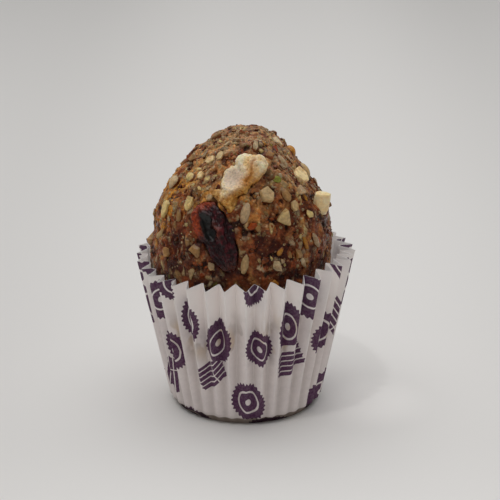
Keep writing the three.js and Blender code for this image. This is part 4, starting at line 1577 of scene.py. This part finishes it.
def floor_material():
    """The pale table, with painted light in front and in a patch right of the case where the lamp's shadow
    falls, and painted shade far off and at the sides.
    """
    material, nodes, shader = new_material("pale_floor", 0.85, Specular_IOR_Level=0.1)
    place = nodes.place()
    x, y, _ = nodes.split(place)
    # Painted light in front and, next, in a patch right of the case.
    front = nodes.step(y, -60.0, -20.0, 0.04, 0.0)
    flat = nodes.vector("MULTIPLY", place, (1, 1, 0))
    patch = nodes.step(nodes.vector("DISTANCE", flat, (26.0, -4.0, 0.0)), 3.0, 16.0, 0.13, 0.0)
    pale = nodes.math("ADD", 1.0, nodes.math("ADD", front, patch))
    # Painted shade at the sides and far off.
    side = nodes.step(nodes.apart(x, 12.0), 20.0, 85.0, 0.0, 0.11)
    far = nodes.step(y, 40.0, 800.0, 0.0, 0.30)
    shade = nodes.less(nodes.less(pale, side), far)
    nodes.feed(shader["Base Color"], nodes.vector("SCALE", FLOOR_WHITE, scale=shade))
    return material


# Studio.


def place_camera():
    rise = math.radians(CAMERA_RISE)
    back = Vector((0, -math.cos(rise), math.sin(rise)))
    spot = (Vector(CAMERA_AIM) + back * CAMERA_DISTANCE) * MM
    bpy.ops.object.camera_add(location=spot, rotation=(math.pi / 2 - rise, 0, 0))
    camera = bpy.context.object
    camera.data.sensor_width = 36
    camera.data.lens = CAMERA_LENS
    camera.data.clip_start = 0.01
    bpy.context.scene.camera = camera


def build_studio():
    """A pale floor, a broad soft lamp overhead, a small one for the moist gleams and a faint surround."""
    bpy.ops.mesh.primitive_plane_add(size=FLOOR_SIZE, location=(0, 0, -0.02 * MM))
    floor = added("pale_floor")
    floor.data.materials.append(floor_material())
    for spot, size, power, aim in LAMPS:
        bpy.ops.object.light_add(type="AREA", location=spot)
        lamp = bpy.context.object
        lamp.data.shape = "DISK"
        lamp.data.size = size
        lamp.data.energy = power
        lamp.rotation_euler = (Vector(aim) - Vector(spot)).to_track_quat("-Z", "Y").to_euler()
    world = bpy.data.worlds.new("surround")
    bpy.context.scene.world = world
    world.use_nodes = True
    background = world.node_tree.nodes["Background"].inputs
    background["Color"].default_value = (*SURROUND, 1.0)
    background["Strength"].default_value = SURROUND_STRENGTH
    bpy.context.scene.view_settings.view_transform = "Standard"


# Assembly.

place_camera()
build_studio()

grain = grain_group()
paste = paste_group()
motifs = motif_group()
fibres = fibre_group()

outer_paper = paper_material("printed_paper", fibres, motifs, **OUTER_SIDE)
inner_paper = paper_material("paper_back", fibres, motifs, **INNER_SIDE)
finish_piece(paper_case(outer_paper, inner_paper), [], "paper_case")

body = sweet_body()
smooth_tree = surface_tree(body)
crumble(body)
press_in(body)
shade(body)
rough_tree = surface_tree(body)

chips = [shape_of(chip_form("chip", seed=100 + i, planes=9, bevel=0.09)) for i in range(7)]
crumbs = [shape_of(chip_form("crumb", seed=200 + i, planes=8, bevel=0)) for i in range(6)]
seeds = [shape_of(seed_form(taper)) for taper in (0.0, 0.18, 0.3)]
slabs = [shape_of(slab_form("slab", corners=5 + i % 2, seed=400 + i, bevel=0.11)) for i in range(4)]
wedge = shape_of(slab_form("wedge", corners=3, seed=420, bevel=0.26))
granules = [shape_of(granule_form(seed=300 + i)) for i in range(8)]
fine_chips = finer("fine_chip", chips, cuts=2, seed_step=3.0, roughness=0.06)
fine_slabs = finer("fine_slab", slabs, cuts=2, seed_step=7.0, roughness=0.03)
large_forms = {
    "chip": fine_chips + fine_slabs,
    "seed": finer("fine_seed", seeds, cuts=1, seed_step=5.0, roughness=0.02),
    "grain": fine_chips,
    "slab": fine_slabs,
    "wedge": finer("fine_wedge", [wedge], cuts=2, seed_start=2.0, roughness=0.07),
}
small_forms = {"chip": chips + slabs + seeds}

large, spots = bit_places()
small, spots = small_bits(spots, **SMALL_BITS)
tiny, _ = small_bits(spots, **FINE_CRUMBS)
sticky = granule_bits(**STICKY_CRUMBS)

nut_flesh = chopped_material(grain, paste)
for name, bits, forms, seed, proud, filmed in (
    ("large_chopped_bits", large, large_forms, 97, (0.24, 0.40), 0.15),
    ("small_chopped_bits", small, small_forms, 98, (-0.14, 0.12), 1.0),
    ("fine_crumbs", tiny, {"chip": crumbs}, 99, (0.0, 0.30), 1.0),
):
    piece = scatter(name, bits, forms, smooth_tree, seed, proud, filmed)
    shade(piece, sharp_above=40)
    finish_piece(piece, [nut_flesh])
piece = scatter("sticky_crumbs", sticky, {"granule": granules}, rough_tree, 103, (-0.02, 0.20), 0.0)
shade(piece)
finish_piece(piece, [granule_material(grain)])
finish_piece(body, [mash_material(grain, paste)], "laddu_body")

for node, make, material, sharp_above in (
    ("puffed_gum", puffed_gum, gum_material(grain, paste), None),
    ("dried_berry", dried_berry, berry_material(grain), None),
    ("almond_chunk", almond_chunk, almond_material(grain, paste), 35),
):
    piece = make()
    shade(piece, sharp_above)
    finish_piece(piece, [material], node)
